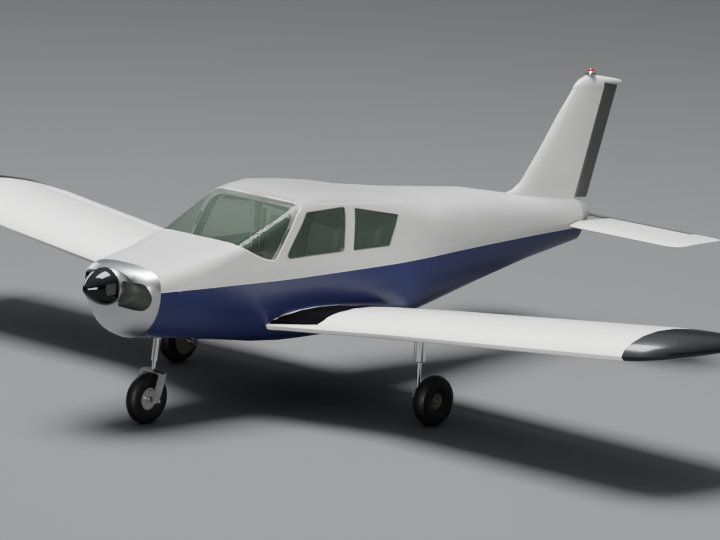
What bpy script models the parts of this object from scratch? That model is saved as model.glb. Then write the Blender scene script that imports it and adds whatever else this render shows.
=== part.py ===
"""Four-seat low-wing light aircraft on its fixed tricycle gear.

Metres, +Z up, nose towards -Y, port side +X. Stations are measured aft from the tip of the spinner, and
heights from the ground. The empty that carries everything puts the middle of the length over the origin.
"""

import math

import bmesh
import bpy
from mathutils import Matrix, Vector

# Driving dimensions
LENGTH = 7.10
PROP_AXIS_Z = 1.271
GAP = 0.0004
MOVING_GAP = 0.008

# Fuselage cross-sections: each is a superellipse of its own exponent above and below its widest height.
# Columns: station, half width, top, widest height, bottom, exponent above, exponent below
SECTIONS = (
    (0.335, 0.286, 1.420, 1.268, 0.985, 2.1, 2.0),
    (0.365, 0.350, 1.436, 1.268, 0.905, 2.2, 2.0),
    (0.420, 0.400, 1.448, 1.267, 0.838, 2.5, 2.1),
    (0.500, 0.436, 1.455, 1.265, 0.803, 2.8, 2.1),
    (0.950, 0.482, 1.520, 1.245, 0.752, 3.8, 2.5),
    (1.390, 0.514, 1.580, 1.220, 0.692, 9.0, 2.9),
    (1.870, 0.548, 1.776, 1.200, 0.620, 12.0, 3.2),
    (2.104, 0.554, 1.876, 1.200, 0.598, 12.0, 3.3),
    (2.220, 0.555, 1.920, 1.200, 0.592, 7.5, 3.3),
    (2.380, 0.556, 1.938, 1.200, 0.585, 7.0, 3.3),
    (2.750, 0.556, 1.903, 1.200, 0.576, 7.0, 3.3),
    (3.130, 0.556, 1.850, 1.200, 0.578, 7.0, 3.3),
    (3.430, 0.552, 1.793, 1.200, 0.585, 6.0, 3.2),
    (3.900, 0.505, 1.745, 1.200, 0.625, 3.4, 3.0),
    (4.900, 0.350, 1.650, 1.200, 0.780, 2.7, 2.7),
    (5.700, 0.225, 1.500, 1.200, 0.895, 2.4, 2.4),
    (6.495, 0.119, 1.381, 1.190, 0.986, 2.1, 2.1),
)
QUARTER_STEPS = 8
BOWL_FRONT, BOWL_REAR = 0.335, 0.500
INLET_MIDDLE = (0.320, 1.218)
FIREWALL = 1.250
CABIN_REAR = 3.900
TAIL_END = 6.495
COWL_WALL, CABIN_WALL, TAIL_WALL = 0.015, 0.040, 0.006
GLASS = 0.006
GLASS_INSET = 0.003
COWL_SPLIT_Z = 1.262
BELLY_SPLIT_Z = 0.700
FLOOR_Z = 0.806

# Roof panel joint, a sloping line: station and height at each end
ROOF_SPLIT_FRONT = (2.110, 1.872)
ROOF_SPLIT_REAR = (3.900, 1.715)

# Outlines seen from the side: station, height
WINDSCREEN = (
    (1.392, 2.200),
    (1.392, 1.566),
    (1.500, 1.508),
    (1.620, 1.452),
    (1.715, 1.420),
    (1.780, 1.414),
    (1.802, 1.430),
    (2.030, 1.780),
    (2.092, 1.836),
    (2.092, 2.200),
)
FRONT_WINDOW = ((1.906, 1.408), (2.152, 1.790), (2.657, 1.790), (2.657, 1.396))
REAR_WINDOW = ((2.776, 1.390), (2.780, 1.765), (3.367, 1.644), (3.256, 1.378))
DOOR = ((1.850, 1.045), (1.850, 1.330), (2.120, 1.842), (2.714, 1.820), (2.714, 1.045))
FRONT_WINDOW_CORNER, REAR_WINDOW_CORNER, DOOR_CORNER = 0.032, 0.012, 0.060

# Wing: straight outer panel and a swept glove at the root.
# Columns: half span, leading edge station and height, trailing edge station and height, thickness, camber
WING = (
    (0.430, 1.735, 0.828, 3.720, 0.700, 0.190, 0.042),
    (1.555, 2.115, 0.895, 3.720, 0.822, 0.212, 0.054),
    (4.130, 2.115, 1.170, 3.720, 1.110, 0.222, 0.070),
)
WING_TIP = (
    (4.1304, 2.115, 1.170, 3.720, 1.110, 0.222, 0.070),
    (4.270, 2.165, 1.183, 3.720, 1.122, 0.204, 0.066),
    (4.400, 2.300, 1.192, 3.715, 1.136, 0.164, 0.054),
    (4.500, 2.540, 1.197, 3.700, 1.148, 0.110, 0.036),
    (4.550, 2.800, 1.193, 3.670, 1.156, 0.064, 0.020),
    (4.570, 3.020, 1.185, 3.620, 1.162, 0.026, 0.008),
)
CAMBER_PEAK = 0.4
WING_WALL = 0.012
WING_SPAR = 3.340
INNER_BAY, OUTER_BAY = (0.300, 1.290), (1.455, 4.200)
HINGE_STATION = 3.420
HINGE_NOSE = 0.040
FLAP_SPAN = (0.640, 2.350)
AILERON_SPAN = (2.400, 4.050)

# Fin. Columns: height, leading edge station
FIN = (
    (1.340, 5.250),
    (1.530, 5.420),
    (1.560, 5.560),
    (1.620, 5.672),
    (1.720, 5.760),
    (1.920, 5.936),
    (2.210, 6.168),
    (2.445, 6.380),
)
FIN_HOLLOW = ((1.300, 5.240), (1.530, 5.460), (1.560, 5.600), (1.620, 5.712), (2.400, 6.370))
FIN_THICKNESS = 0.085
RUDDER_FRONT = ((6.476, 1.402), (6.827, 2.468))
RUDDER_REAR = ((6.666, 1.382), (7.040, 2.433))
RUDDER_NOSE = 0.026
# Fin tip fairing. Columns: station, underside, top, half width
FIN_TIP = (
    (6.3824, 2.4454, 2.4600, 0.006),
    (6.428, 2.4454, 2.500, 0.026),
    (6.480, 2.4454, 2.530, 0.038),
    (6.560, 2.4454, 2.558, 0.042),
    (6.720, 2.4454, 2.545, 0.041),
    (6.790, 2.4454, 2.535, 0.038),
    (6.800, 2.4840, 2.533, 0.037),
    (6.950, 2.4660, 2.505, 0.027),
    (7.060, 2.4530, 2.482, 0.015),
    (7.100, 2.4540, 2.466, 0.006),
)
BEACON_STATION, BEACON_FOOT_RADIUS, BEACON_FLANGE_RADIUS = 6.630, 0.024, 0.056
BEACON_FOOT, BEACON_FLANGE, BEACON_SEAT = 2.535, 2.567, 2.575
LENS_RADIUS, LENS_HEIGHT = 0.030, 0.0526

# Stabilator. Columns: half span, leading edge, trailing edge, thickness
STABILATOR = (
    (0.168, 6.240, 6.930, 0.062),
    (1.330, 6.240, 6.930, 0.054),
    (1.410, 6.275, 6.925, 0.040),
    (1.455, 6.360, 6.890, 0.012),
)
STABILATOR_Z = 1.170
STABILATOR_PIVOT = 6.430
TORQUE_TUBE = 0.027
TAB_SPAN = 1.120
TAB_HINGE = 6.862
TAB_NOSE = 0.008
TAIL_SURFACE_WALL = 0.005

# Spinner
SPINNER_RADIUS, SPINNER_LENGTH = 0.163, 0.265
HUB_STATION = 0.215

# Gear. A tyre's columns: half width, rim radius, rim edge's distance from the middle plane
TYRE_RADIUS = 0.2225
NOSE_TYRE = (0.063, 0.098, 0.026)
MAIN_TYRE = (0.072, 0.079, 0.032)
TYRE_SIDES, WHEEL_SIDES = 32, 24
AXLE_RADIUS, HUB_BORE = 0.012, 0.017
NOSE_WHEEL = (0.0, 0.815, TYRE_RADIUS)
MAIN_WHEEL = (1.555, 2.785, TYRE_RADIUS)
STRUT_FOOT = (0.0, 0.889, 0.458)
STRUT_LEAN = 0.120
FORK_OUTER, FORK_INNER, NOSE_AXLE_REACH = 0.136, 0.098, 0.156
LEG_X, LEG_RADIUS, LEG_TOP, PISTON_RADIUS = 1.373, 0.052, 0.840, 0.020


def clear_scene():
    for obj in list(bpy.data.objects):
        bpy.data.objects.remove(obj, do_unlink=True)


clear_scene()
AIRCRAFT = bpy.data.collections.new("light_aircraft")
CUTTERS = bpy.data.collections.new("cutters")
for collection in (AIRCRAFT, CUTTERS):
    bpy.context.scene.collection.children.link(collection)
DATUM = bpy.data.objects.new("datum", None)
DATUM.location = (0.0, -LENGTH / 2, 0.0)
AIRCRAFT.objects.link(DATUM)


def finish(name, colour, roughness, metallic=0.0, alpha=1.0):
    material = bpy.data.materials.new(name)
    material.use_nodes = True
    shader = material.node_tree.nodes["Principled BSDF"]
    shader.inputs["Base Color"].default_value = (*colour, 1.0)
    shader.inputs["Roughness"].default_value = roughness
    shader.inputs["Metallic"].default_value = metallic
    shader.inputs["Alpha"].default_value = alpha
    return material


WHITE = finish("white_enamel", (0.80, 0.80, 0.79), 0.25)
BLUE = finish("navy_enamel", (0.035, 0.040, 0.125), 0.25)
POLISHED = finish("polished_aluminium", (0.70, 0.70, 0.71), 0.25, 1.0)
DARK_METAL = finish("dark_plated_metal", (0.18, 0.18, 0.19), 0.20, 1.0)
STEEL = finish("bright_steel", (0.62, 0.62, 0.63), 0.22, 1.0)
GREY = finish("grey_enamel", (0.08, 0.08, 0.08), 0.45)
RUBBER = finish("tyre_rubber", (0.012, 0.012, 0.012), 0.70)
PLASTIC = finish("cabin_plastic", (0.05, 0.05, 0.05), 0.60)
CLOTH = finish("seat_cloth", (0.14, 0.15, 0.15), 0.90)
TINTED = finish("tinted_acrylic", (0.16, 0.20, 0.17), 0.05, 0.0, 0.4)
RED = finish("red_lens", (0.60, 0.02, 0.02), 0.10)
IRON = finish("engine_casting", (0.22, 0.22, 0.22), 0.55, 1.0)


def add_object(name, bm, material=None, cutter=False):
    """One object in datum coordinates, its faces pointing out."""
    bmesh.ops.recalc_face_normals(bm, faces=bm.faces)
    mesh = bpy.data.meshes.new(name)
    bm.to_mesh(mesh)
    bm.free()
    obj = bpy.data.objects.new(name, mesh)
    (CUTTERS if cutter else AIRCRAFT).objects.link(obj)
    obj.parent = DATUM
    if cutter:
        obj.hide_render = True
        obj.display_type = "WIRE"
    if material:
        mesh.materials.append(material)
    return obj


def set_origin(obj, point):
    """Moves the object's origin to a point of its joint's axis, leaving its shape where it is."""
    obj.data.transform(Matrix.Translation(-Vector(point)))
    obj.location = point


def boolean(obj, other, operation="DIFFERENCE"):
    modifier = obj.modifiers.new(f"{operation.lower()}_{other.name}", "BOOLEAN")
    modifier.operation = operation
    modifier.solver = "EXACT"
    modifier.object = other


def loft_mesh(rings, mirrored=False):
    """A closed skin through rings of equal count, capped at both ends."""
    bm = bmesh.new()
    side = -1 if mirrored else 1
    rows = [[bm.verts.new((side * x, y, z)) for x, y, z in ring] for ring in rings]
    for near, far in zip(rows, rows[1:]):
        for i in range(len(near)):
            j = (i + 1) % len(near)
            bm.faces.new((near[i], near[j], far[j], far[i]))
    bm.faces.new(rows[0])
    bm.faces.new(rows[-1])
    return bm


def prism(name, outline, low, high, material=None, cutter=False):
    """An outline of stations and heights, drawn out along X from low to high."""
    rings = [[(x, station, z) for station, z in outline] for x in (low, high)]
    return add_object(name, loft_mesh(rings), material, cutter)


def rounded(outline, radius, steps=3):
    """The outline with each corner cut to a short arc."""
    points = []
    count = len(outline)
    for i, corner in enumerate(outline):
        corner = Vector(corner)
        before = (Vector(outline[i - 1]) - corner).normalized()
        after = (Vector(outline[(i + 1) % count]) - corner).normalized()
        half = before.angle(after) / 2
        reach = radius / math.tan(half)
        centre = corner + (before + after).normalized() * radius / math.sin(half)
        start = corner + before * reach - centre
        end = corner + after * reach - centre
        sweep = start.angle_signed(end)
        for step in range(steps + 1):
            turn = Matrix.Rotation(-sweep * step / steps, 2)
            points.append(tuple(centre + turn @ start))
    return points


def shrunk(outline, amount):
    """The outline drawn in towards its middle by about the amount at each corner."""
    middle = sum((Vector(p) for p in outline), Vector((0.0, 0.0))) / len(outline)
    result = []
    for point in outline:
        away = Vector(point) - middle
        result.append(tuple(middle + away * (1 - amount / away.length)))
    return result


def box(name, low, high, material=None, cutter=False, bevel=0.0):
    outline = ((low[1], low[2]), (high[1], low[2]), (high[1], high[2]), (low[1], high[2]))
    obj = prism(name, outline, low[0], high[0], material, cutter)
    if bevel:
        edge = obj.modifiers.new("edges", "BEVEL")
        edge.width = bevel
        edge.segments = 2
    return obj


def tube_between(name, start, end, radius, material=None, cutter=False, segments=24):
    """A round bar from start to end."""
    start, end = Vector(start), Vector(end)
    along = end - start
    bm = bmesh.new()
    bmesh.ops.create_cone(
        bm,
        cap_ends=True,
        segments=segments,
        radius1=radius,
        radius2=radius,
        depth=along.length,
    )
    turn = along.to_track_quat("Z", "Y").to_matrix().to_4x4()
    bmesh.ops.transform(bm, matrix=Matrix.Translation((start + end) / 2) @ turn, verts=bm.verts)
    return add_object(name, bm, material, cutter)


def turned(name, profile, centre, axis, material, segments=40, closed=False, flat_down=False):
    """A profile of radius and distance along the axis, swept round it by a Screw modifier."""
    bm = bmesh.new()
    points = [bm.verts.new((radius, 0.0, along)) for radius, along in profile]
    for near, far in zip(points, points[1:]):
        bm.edges.new((near, far))
    if closed:
        bm.edges.new((points[-1], points[0]))
    mesh = bpy.data.meshes.new(name)
    bm.to_mesh(mesh)
    bm.free()
    mesh.materials.append(material)
    obj = bpy.data.objects.new(name, mesh)
    AIRCRAFT.objects.link(obj)
    obj.parent = DATUM
    obj.location = centre
    half_step = Matrix.Rotation(math.pi / segments, 3, "Z") if flat_down else Matrix.Identity(3)
    obj.rotation_euler = (Vector(axis).to_track_quat("Z", "Y").to_matrix() @ half_step).to_euler()
    screw = obj.modifiers.new("turn", "SCREW")
    screw.steps = segments
    screw.render_steps = segments
    screw.use_merge_vertices = True
    screw.merge_threshold = 0.0001
    return obj


def section_at(station):
    """The cross-section's numbers at a station, straight between the table's rows."""
    for before, after in zip(SECTIONS, SECTIONS[1:]):
        if station <= after[0]:
            share = (station - before[0]) / (after[0] - before[0])
            return [a + (b - a) * share for a, b in zip(before, after)]
    return list(SECTIONS[-1])


def body_ring(station, inset=0.0):
    _, half_width, top, middle, bottom, above, below = section_at(station)
    ring = []
    for i in range(4 * QUARTER_STEPS):
        angle = math.pi * i / (2 * QUARTER_STEPS)
        across, up = math.cos(angle), math.sin(angle)
        power = 2 / (above if up >= 0 else below)
        height = (top - middle if up >= 0 else middle - bottom) - inset
        x = (half_width - inset) * math.copysign(abs(across) ** power, across)
        z = middle + height * math.copysign(abs(up) ** power, up)
        ring.append((x, station, z))
    return ring


def stations_between(start, end):
    return [start] + [row[0] for row in SECTIONS if start < row[0] < end] + [end]


def body_solid(name, start, end, inset=0.0, material=None, cutter=False):
    rings = [body_ring(station, inset) for station in stations_between(start, end)]
    return add_object(name, loft_mesh(rings), material, cutter)


def body_shell(name, start, end, wall, material, inset=0.0):
    """An open-ended tube of the fuselage's form."""
    stations = stations_between(start, end)
    bm = bmesh.new()
    skins = []
    for depth in (inset, inset + wall):
        skins.append([[bm.verts.new(p) for p in body_ring(s, depth)] for s in stations])
    outer, inner = skins
    count = 4 * QUARTER_STEPS
    for skin in skins:
        for near, far in zip(skin, skin[1:]):
            for i in range(count):
                j = (i + 1) % count
                bm.faces.new((near[i], near[j], far[j], far[i]))
    for k in (0, -1):
        for i in range(count):
            j = (i + 1) % count
            bm.faces.new((outer[k][i], outer[k][j], inner[k][j], inner[k][i]))
    return add_object(name, bm, material)


def aerofoil(lead, trail, thickness, camber=0.0, points=11, wall=0.0, spar=0.0):
    """Stations and heights above the chord line, from the trailing edge over the top to the nose and back.

    With a wall, it is the hollow inside the skin, as far back as the spar.
    """
    chord = trail - lead
    first, last = (12 * wall / chord, (spar - lead) / chord) if wall else (0.0, 1.0)
    shares = [first + (last - first) * (1 - math.cos(math.pi * i / points)) / 2 for i in range(points + 1)]

    def half(c):
        roots = 0.2969 * math.sqrt(c) - 0.1260 * c - 0.3516 * c**2 + 0.2843 * c**3 - 0.1015 * c**4
        return 5 * (thickness - 2 * wall) * roots

    upper = [(c, camber * camber_rise(c) + half(c)) for c in reversed(shares)]
    lower = [(c, camber * camber_rise(c) - half(c)) for c in shares[0 if wall else 1 :]]
    return [(lead + chord * c, height) for c, height in upper + lower]


def camber_rise(c):
    """The mean line's height at a share of the chord, as a share of its greatest height."""
    if c < CAMBER_PEAK:
        return (2 * CAMBER_PEAK * c - c**2) / CAMBER_PEAK**2
    return (1 - 2 * CAMBER_PEAK + 2 * CAMBER_PEAK * c - c**2) / (1 - CAMBER_PEAK) ** 2


def wing_ring(row, wall=0.0):
    span, lead_s, lead_z, trail_s, trail_z, thickness, camber = row
    slope = (trail_z - lead_z) / (trail_s - lead_s)
    points = aerofoil(lead_s, trail_s, thickness, camber, wall=wall, spar=WING_SPAR)
    return [(span, station, lead_z + slope * (station - lead_s) + height) for station, height in points]


def wing_row(span):
    """The wing table's numbers at a half span, straight between its rows."""
    inner, outer = (WING[0], WING[1]) if span < WING[1][0] else (WING[1], WING[2])
    share = (span - inner[0]) / (outer[0] - inner[0])
    return [a + (b - a) * share for a, b in zip(inner, outer)]


def hinge_point(span):
    """The point of the flap and aileron hinge line at this half span, on the port side."""
    share = (HINGE_STATION - WING[1][1]) / (WING[1][3] - WING[1][1])
    ends = []
    for _, _, lead_z, _, trail_z, _, camber in WING[1:]:
        ends.append(lead_z + (trail_z - lead_z) * share + camber * camber_rise(share))
    rise = (ends[1] - ends[0]) / (WING[2][0] - WING[1][0])
    return Vector((span, HINGE_STATION, ends[0] + rise * (span - WING[1][0])))


DIHEDRAL = math.atan(hinge_point(1.0).z - hinge_point(0.0).z)


def surface_outline():
    """A flap's or aileron's section about its hinge: distance aft and height."""
    arc = [(math.radians(90 + 180 * i / 6)) for i in range(7)]
    nose = [(HINGE_NOSE * math.cos(a), HINGE_NOSE * math.sin(a)) for a in arc]
    chord = WING[1][3] - HINGE_STATION
    drop = hinge_point(WING[1][0]).z - WING[1][4]
    return nose + [(chord, -drop - 0.002), (chord, -drop + 0.002)]


def along_hinge(name, outline, span, mirrored, material=None, cutter=False, over=0.0):
    """An outline about the hinge line, drawn along it over a stretch of the span."""
    out = Vector((math.cos(DIHEDRAL), 0.0, math.sin(DIHEDRAL)))
    up = Vector((-math.sin(DIHEDRAL), 0.0, math.cos(DIHEDRAL)))
    rings = []
    for end, way in zip(span, (-1, 1)):
        centre = hinge_point(end) + out * over * way
        rings.append([tuple(centre + Vector((0, aft, 0)) + up * high) for aft, high in outline])
    obj = add_object(name, loft_mesh(rings, mirrored), material, cutter)
    return obj


def make_fuselage():
    bowl = body_shell("nose_bowl", BOWL_FRONT, BOWL_REAR - GAP, COWL_WALL, POLISHED)
    face = body_solid("bowl_face", BOWL_FRONT, BOWL_FRONT + 0.02, 0.001, None, True)
    boolean(bowl, face, "UNION")
    shaft_hole = tube_between("shaft_hole", (0, 0.30, PROP_AXIS_Z), (0, 0.60, PROP_AXIS_Z), 0.060, None, True)
    boolean(bowl, shaft_hole)
    for side, name in ((1, "left"), (-1, "right")):
        inlet = air_inlet(f"inlet_{name}", side)
        boolean(bowl, inlet)

    upper = body_shell("cowling_upper", BOWL_REAR, FIREWALL - GAP, COWL_WALL, WHITE)
    above_split = box("above_cowl_split", (-1, 0.4, COWL_SPLIT_Z + GAP), (1, 1.4, 2.0), None, True)
    boolean(upper, above_split, "INTERSECT")
    lower = body_shell("cowling_lower", BOWL_REAR, FIREWALL - GAP, COWL_WALL, BLUE)
    below_split = box("below_cowl_split", (-1, 0.4, 0.4), (1, 1.4, COWL_SPLIT_Z), None, True)
    boolean(lower, below_split, "INTERSECT")
    boolean(lower, box("strut_slot", (-0.055, 0.84, 0.5), (0.055, 1.05, 1.0), None, True))
    boolean(lower, box("cooling_exit", (-0.20, 1.10, 0.6), (0.20, 1.20, 0.9), None, True))

    wall = body_solid("firewall", FIREWALL + 0.012, FIREWALL + 0.024, CABIN_WALL + GAP, STEEL)
    wall.data.materials[0] = STEEL
    make_cabin_panels()

    tail = body_shell("tail_cone", CABIN_REAR + GAP, TAIL_END, TAIL_WALL, WHITE)
    pivot = (0.5, STABILATOR_PIVOT, STABILATOR_Z)
    hole = tube_between("torque_tube_hole", pivot, (-0.5, *pivot[1:]), TORQUE_TUBE + 0.006, None, True)
    boolean(tail, hole)
    rows = (
        (TAIL_END + GAP, 0.112, 1.376, 1.200, 0.996),
        (6.590, 0.095, 1.358, 1.235, 1.068),
        (6.640, 0.068, 1.338, 1.268, 1.160),
        (6.664, 0.024, 1.312, 1.290, 1.256),
    )
    rings = []
    for station, half_width, top, middle, bottom in rows:
        ring = []
        for i in range(24):
            angle = 2 * math.pi * i / 24
            height = top - middle if math.sin(angle) >= 0 else middle - bottom
            ring.append((half_width * math.cos(angle), station, middle + height * math.sin(angle)))
        rings.append(ring)
    add_object("tail_end_fairing", loft_mesh(rings), GREY)


def air_inlet(name, side):
    """A cutter for one cooling inlet: its inner end follows the spinner, its outer end is a half round."""
    outline = [(0.092, 1.108)]
    for i in range(8):
        angle = math.radians(-42 + 70 * i / 7)
        outline.append((0.140 * math.cos(angle), PROP_AXIS_Z + 0.140 * math.sin(angle)))
    for i in range(15):
        angle = math.radians(90 - 180 * i / 14)
        outline.append((INLET_MIDDLE[0] + 0.080 * math.cos(angle), INLET_MIDDLE[1] + 0.120 * math.sin(angle)))
    rings = [[(side * x, station, z) for x, z in outline] for station in (0.25, 0.46)]
    return add_object(name, loft_mesh(rings), None, True)


def make_cabin_panels():
    """The cabin's skins: belly, two sides and roof, each as thick as the wall."""
    slope = math.atan2(ROOF_SPLIT_REAR[1] - ROOF_SPLIT_FRONT[1], ROOF_SPLIT_REAR[0] - ROOF_SPLIT_FRONT[0])
    rise = math.tan(slope)
    front_z = ROOF_SPLIT_FRONT[1] - rise * (ROOF_SPLIT_FRONT[0] - 1.0)
    rear_z = ROOF_SPLIT_FRONT[1] + rise * (4.2 - ROOF_SPLIT_FRONT[0])
    start, end = FIREWALL, CABIN_REAR
    roof_front = ROOF_SPLIT_FRONT[0]

    belly = body_shell("cabin_belly", start, end, CABIN_WALL, BLUE)
    boolean(belly, box("below_belly_split", (-1, 1, 0.4), (1, 4.2, BELLY_SPLIT_Z), None, True), "INTERSECT")

    roof = body_shell("cabin_roof", start, end, CABIN_WALL, WHITE)
    above = ((roof_front, 2.4), (roof_front, ROOF_SPLIT_FRONT[1] + GAP), (4.2, rear_z + GAP), (4.2, 2.4))
    boolean(roof, prism("above_roof_split", above, -1, 1, None, True), "INTERSECT")

    below = (
        (1.0, BELLY_SPLIT_Z + GAP),
        (4.2, BELLY_SPLIT_Z + GAP),
        (4.2, rear_z),
        (roof_front - GAP, ROOF_SPLIT_FRONT[1]),
        (roof_front - GAP, 2.4),
        (1.0, 2.4),
    )
    screen = prism("windscreen_opening", WINDSCREEN, -1, 1, None, True)
    left = body_shell("cabin_side_left", start, end, CABIN_WALL, WHITE)
    boolean(left, prism("left_of_middle", below, GAP / 2, 1, None, True), "INTERSECT")
    boolean(left, screen)
    right = body_shell("cabin_side_right", start, end, CABIN_WALL, WHITE)
    boolean(right, prism("right_of_middle", below, -1, -GAP / 2, None, True), "INTERSECT")
    boolean(right, screen)

    glass = body_shell("windscreen", start, end, GLASS, TINTED, GLASS_INSET)
    pane = shrunk_screen()
    boolean(glass, prism("windscreen_pane", pane, -1, 1, None, True), "INTERSECT")

    panes = (
        ("front_window_left", FRONT_WINDOW, 1, left),
        ("rear_window_left", REAR_WINDOW, 1, left),
        ("rear_window_right", REAR_WINDOW, -1, right),
    )
    for name, outline, side, panel in panes:
        corner = FRONT_WINDOW_CORNER if outline is FRONT_WINDOW else REAR_WINDOW_CORNER
        fit_window(name, rounded(outline, corner), side, panel)

    door_outline = rounded(DOOR, DOOR_CORNER)
    door_hole = prism("door_opening", door_outline, -1, -0.3, None, True)
    boolean(right, door_hole)
    door = body_shell("cabin_door", start, end, CABIN_WALL, WHITE)
    door_shape = prism("door_shape", shrunk(door_outline, MOVING_GAP), -1, -0.3, None, True)
    boolean(door, door_shape, "INTERSECT")
    pane = fit_window("door_window", rounded(FRONT_WINDOW, FRONT_WINDOW_CORNER), -1, door)
    for obj in (door, pane):
        set_origin(obj, DOOR_HINGE)


DOOR_HINGE = (-0.572, 1.880, 1.20)


def shrunk_screen():
    """The windscreen's outline, drawn in a little where it meets the frame."""
    inner = []
    for station, height in WINDSCREEN:
        station = max(station, WINDSCREEN[0][0] + 2 * GAP)
        station = min(station, WINDSCREEN[-1][0] - 2 * GAP)
        inner.append((station, height + 2 * GAP if height < 2 else height))
    return [(s - 2 * GAP if 1.8 < s < 2.1 else s, z) for s, z in inner]


def fit_window(name, edge, side, panel):
    """Cuts the opening in the panel and puts a pane in it."""
    ends = (0.3, 1.0) if side > 0 else (-1.0, -0.3)
    boolean(panel, prism(f"{name}_opening", edge, *ends, None, True))
    pane = body_shell(name, FIREWALL, CABIN_REAR, GLASS, TINTED, GLASS_INSET)
    shape = prism(f"{name}_shape", shrunk(edge, 2 * GAP), *ends, None, True)
    boolean(pane, shape, "INTERSECT")
    return pane


def make_cabin_fittings():
    floor = body_solid("cabin_floor", FIREWALL + 0.030, 3.395, CABIN_WALL + GAP, PLASTIC)
    boolean(floor, box("floor_slice", (-1, 1, FLOOR_Z - 0.016), (1, 4, FLOOR_Z), None, True), "INTERSECT")
    body_solid("cabin_rear_wall", 3.400, 3.415, CABIN_WALL + GAP, PLASTIC)
    box("instrument_panel", (-0.46, 1.700, 1.120), (0.46, 1.740, 1.470), PLASTIC, bevel=0.015)
    seat = (
        (2.20, FLOOR_Z + GAP),
        (2.62, FLOOR_Z + GAP),
        (2.70, 1.08),
        (2.84, 1.58),
        (2.75, 1.61),
        (2.58, 1.14),
        (2.14, 1.12),
        (2.12, 1.00),
    )
    for side, name in ((1, "left"), (-1, "right")):
        ends = sorted((side * 0.045, side * 0.455))
        front = prism(f"front_seat_{name}", seat, *ends, CLOTH)
        edge = front.modifiers.new("edges", "BEVEL")
        edge.width = 0.03
        edge.segments = 2
    bench = (
        (2.98, FLOOR_Z + GAP),
        (3.20, FLOOR_Z + GAP),
        (3.30, 1.06),
        (3.38, 1.52),
        (3.29, 1.54),
        (3.19, 1.12),
        (2.86, 1.10),
        (2.84, 0.98),
    )
    rear = prism("rear_seat", bench, -0.44, 0.44, CLOTH)
    edge = rear.modifiers.new("edges", "BEVEL")
    edge.width = 0.03
    edge.segments = 2


def make_wings():
    keel = body_solid("fuselage_clearance", FIREWALL, 4.2, -3 * GAP, None, True)
    outline = surface_outline()
    reach = HINGE_NOSE + MOVING_GAP
    cut = ((-reach, -0.2), (0.5, -0.2), (0.5, 0.2), (-reach, 0.2))
    outer_bay = [wing_row(OUTER_BAY[0]), WING[1], wing_row(OUTER_BAY[1])]
    tip_bay = [(4.100, *WING_TIP[0][1:]), *WING_TIP[1:3]]
    for mirrored, name in ((False, "left"), (True, "right")):
        side = -1 if mirrored else 1
        rings = [wing_ring(row) for row in WING]
        wing = add_object(f"wing_{name}", loft_mesh(rings, mirrored), WHITE)
        boolean(wing, keel)
        rings = [wing_ring(row) for row in WING_TIP]
        tip = add_object(f"wing_tip_{name}", loft_mesh(rings, mirrored), DARK_METAL)
        hollows = (
            ("inner_bay", wing, [wing_row(span) for span in INNER_BAY]),
            ("outer_bay", wing, outer_bay),
            ("tip_bay", tip, tip_bay),
        )
        for label, obj, rows in hollows:
            rings = [wing_ring(row, WING_WALL) for row in rows]
            boolean(obj, add_object(f"{label}_{name}", loft_mesh(rings, mirrored), None, True))
        for label, span in (("flap", FLAP_SPAN), ("aileron", AILERON_SPAN)):
            bay = along_hinge(f"{label}_bay_{name}", cut, span, mirrored, None, True, MOVING_GAP)
            boolean(wing, bay)
            surface = along_hinge(f"{label}_{name}", outline, span, mirrored, WHITE)
            centre = hinge_point((span[0] + span[1]) / 2)
            set_origin(surface, (side * centre.x, centre.y, centre.z))
        foot = (side * LEG_X, MAIN_WHEEL[1], 0.60)
        top = (*foot[:2], LEG_TOP + GAP)
        boolean(wing, tube_between(f"leg_pocket_{name}", foot, top, LEG_RADIUS + 0.002, None, True, 20))


def line_at(line, height):
    """The station of a straight line of two points at a height."""
    (low_s, low_z), (high_s, high_z) = line
    return low_s + (high_s - low_s) * (height - low_z) / (high_z - low_z)


def fin_ring(height, lead, wall=0.0):
    """The fin's section at a height; its hollow stops short of the rudder."""
    trail, post = line_at(RUDDER_REAR, height), line_at(RUDDER_FRONT, height)
    points = aerofoil(lead, trail, FIN_THICKNESS, 0.0, 9, wall, post - 4 * wall)
    return [(across, station, height) for station, across in points]


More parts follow.
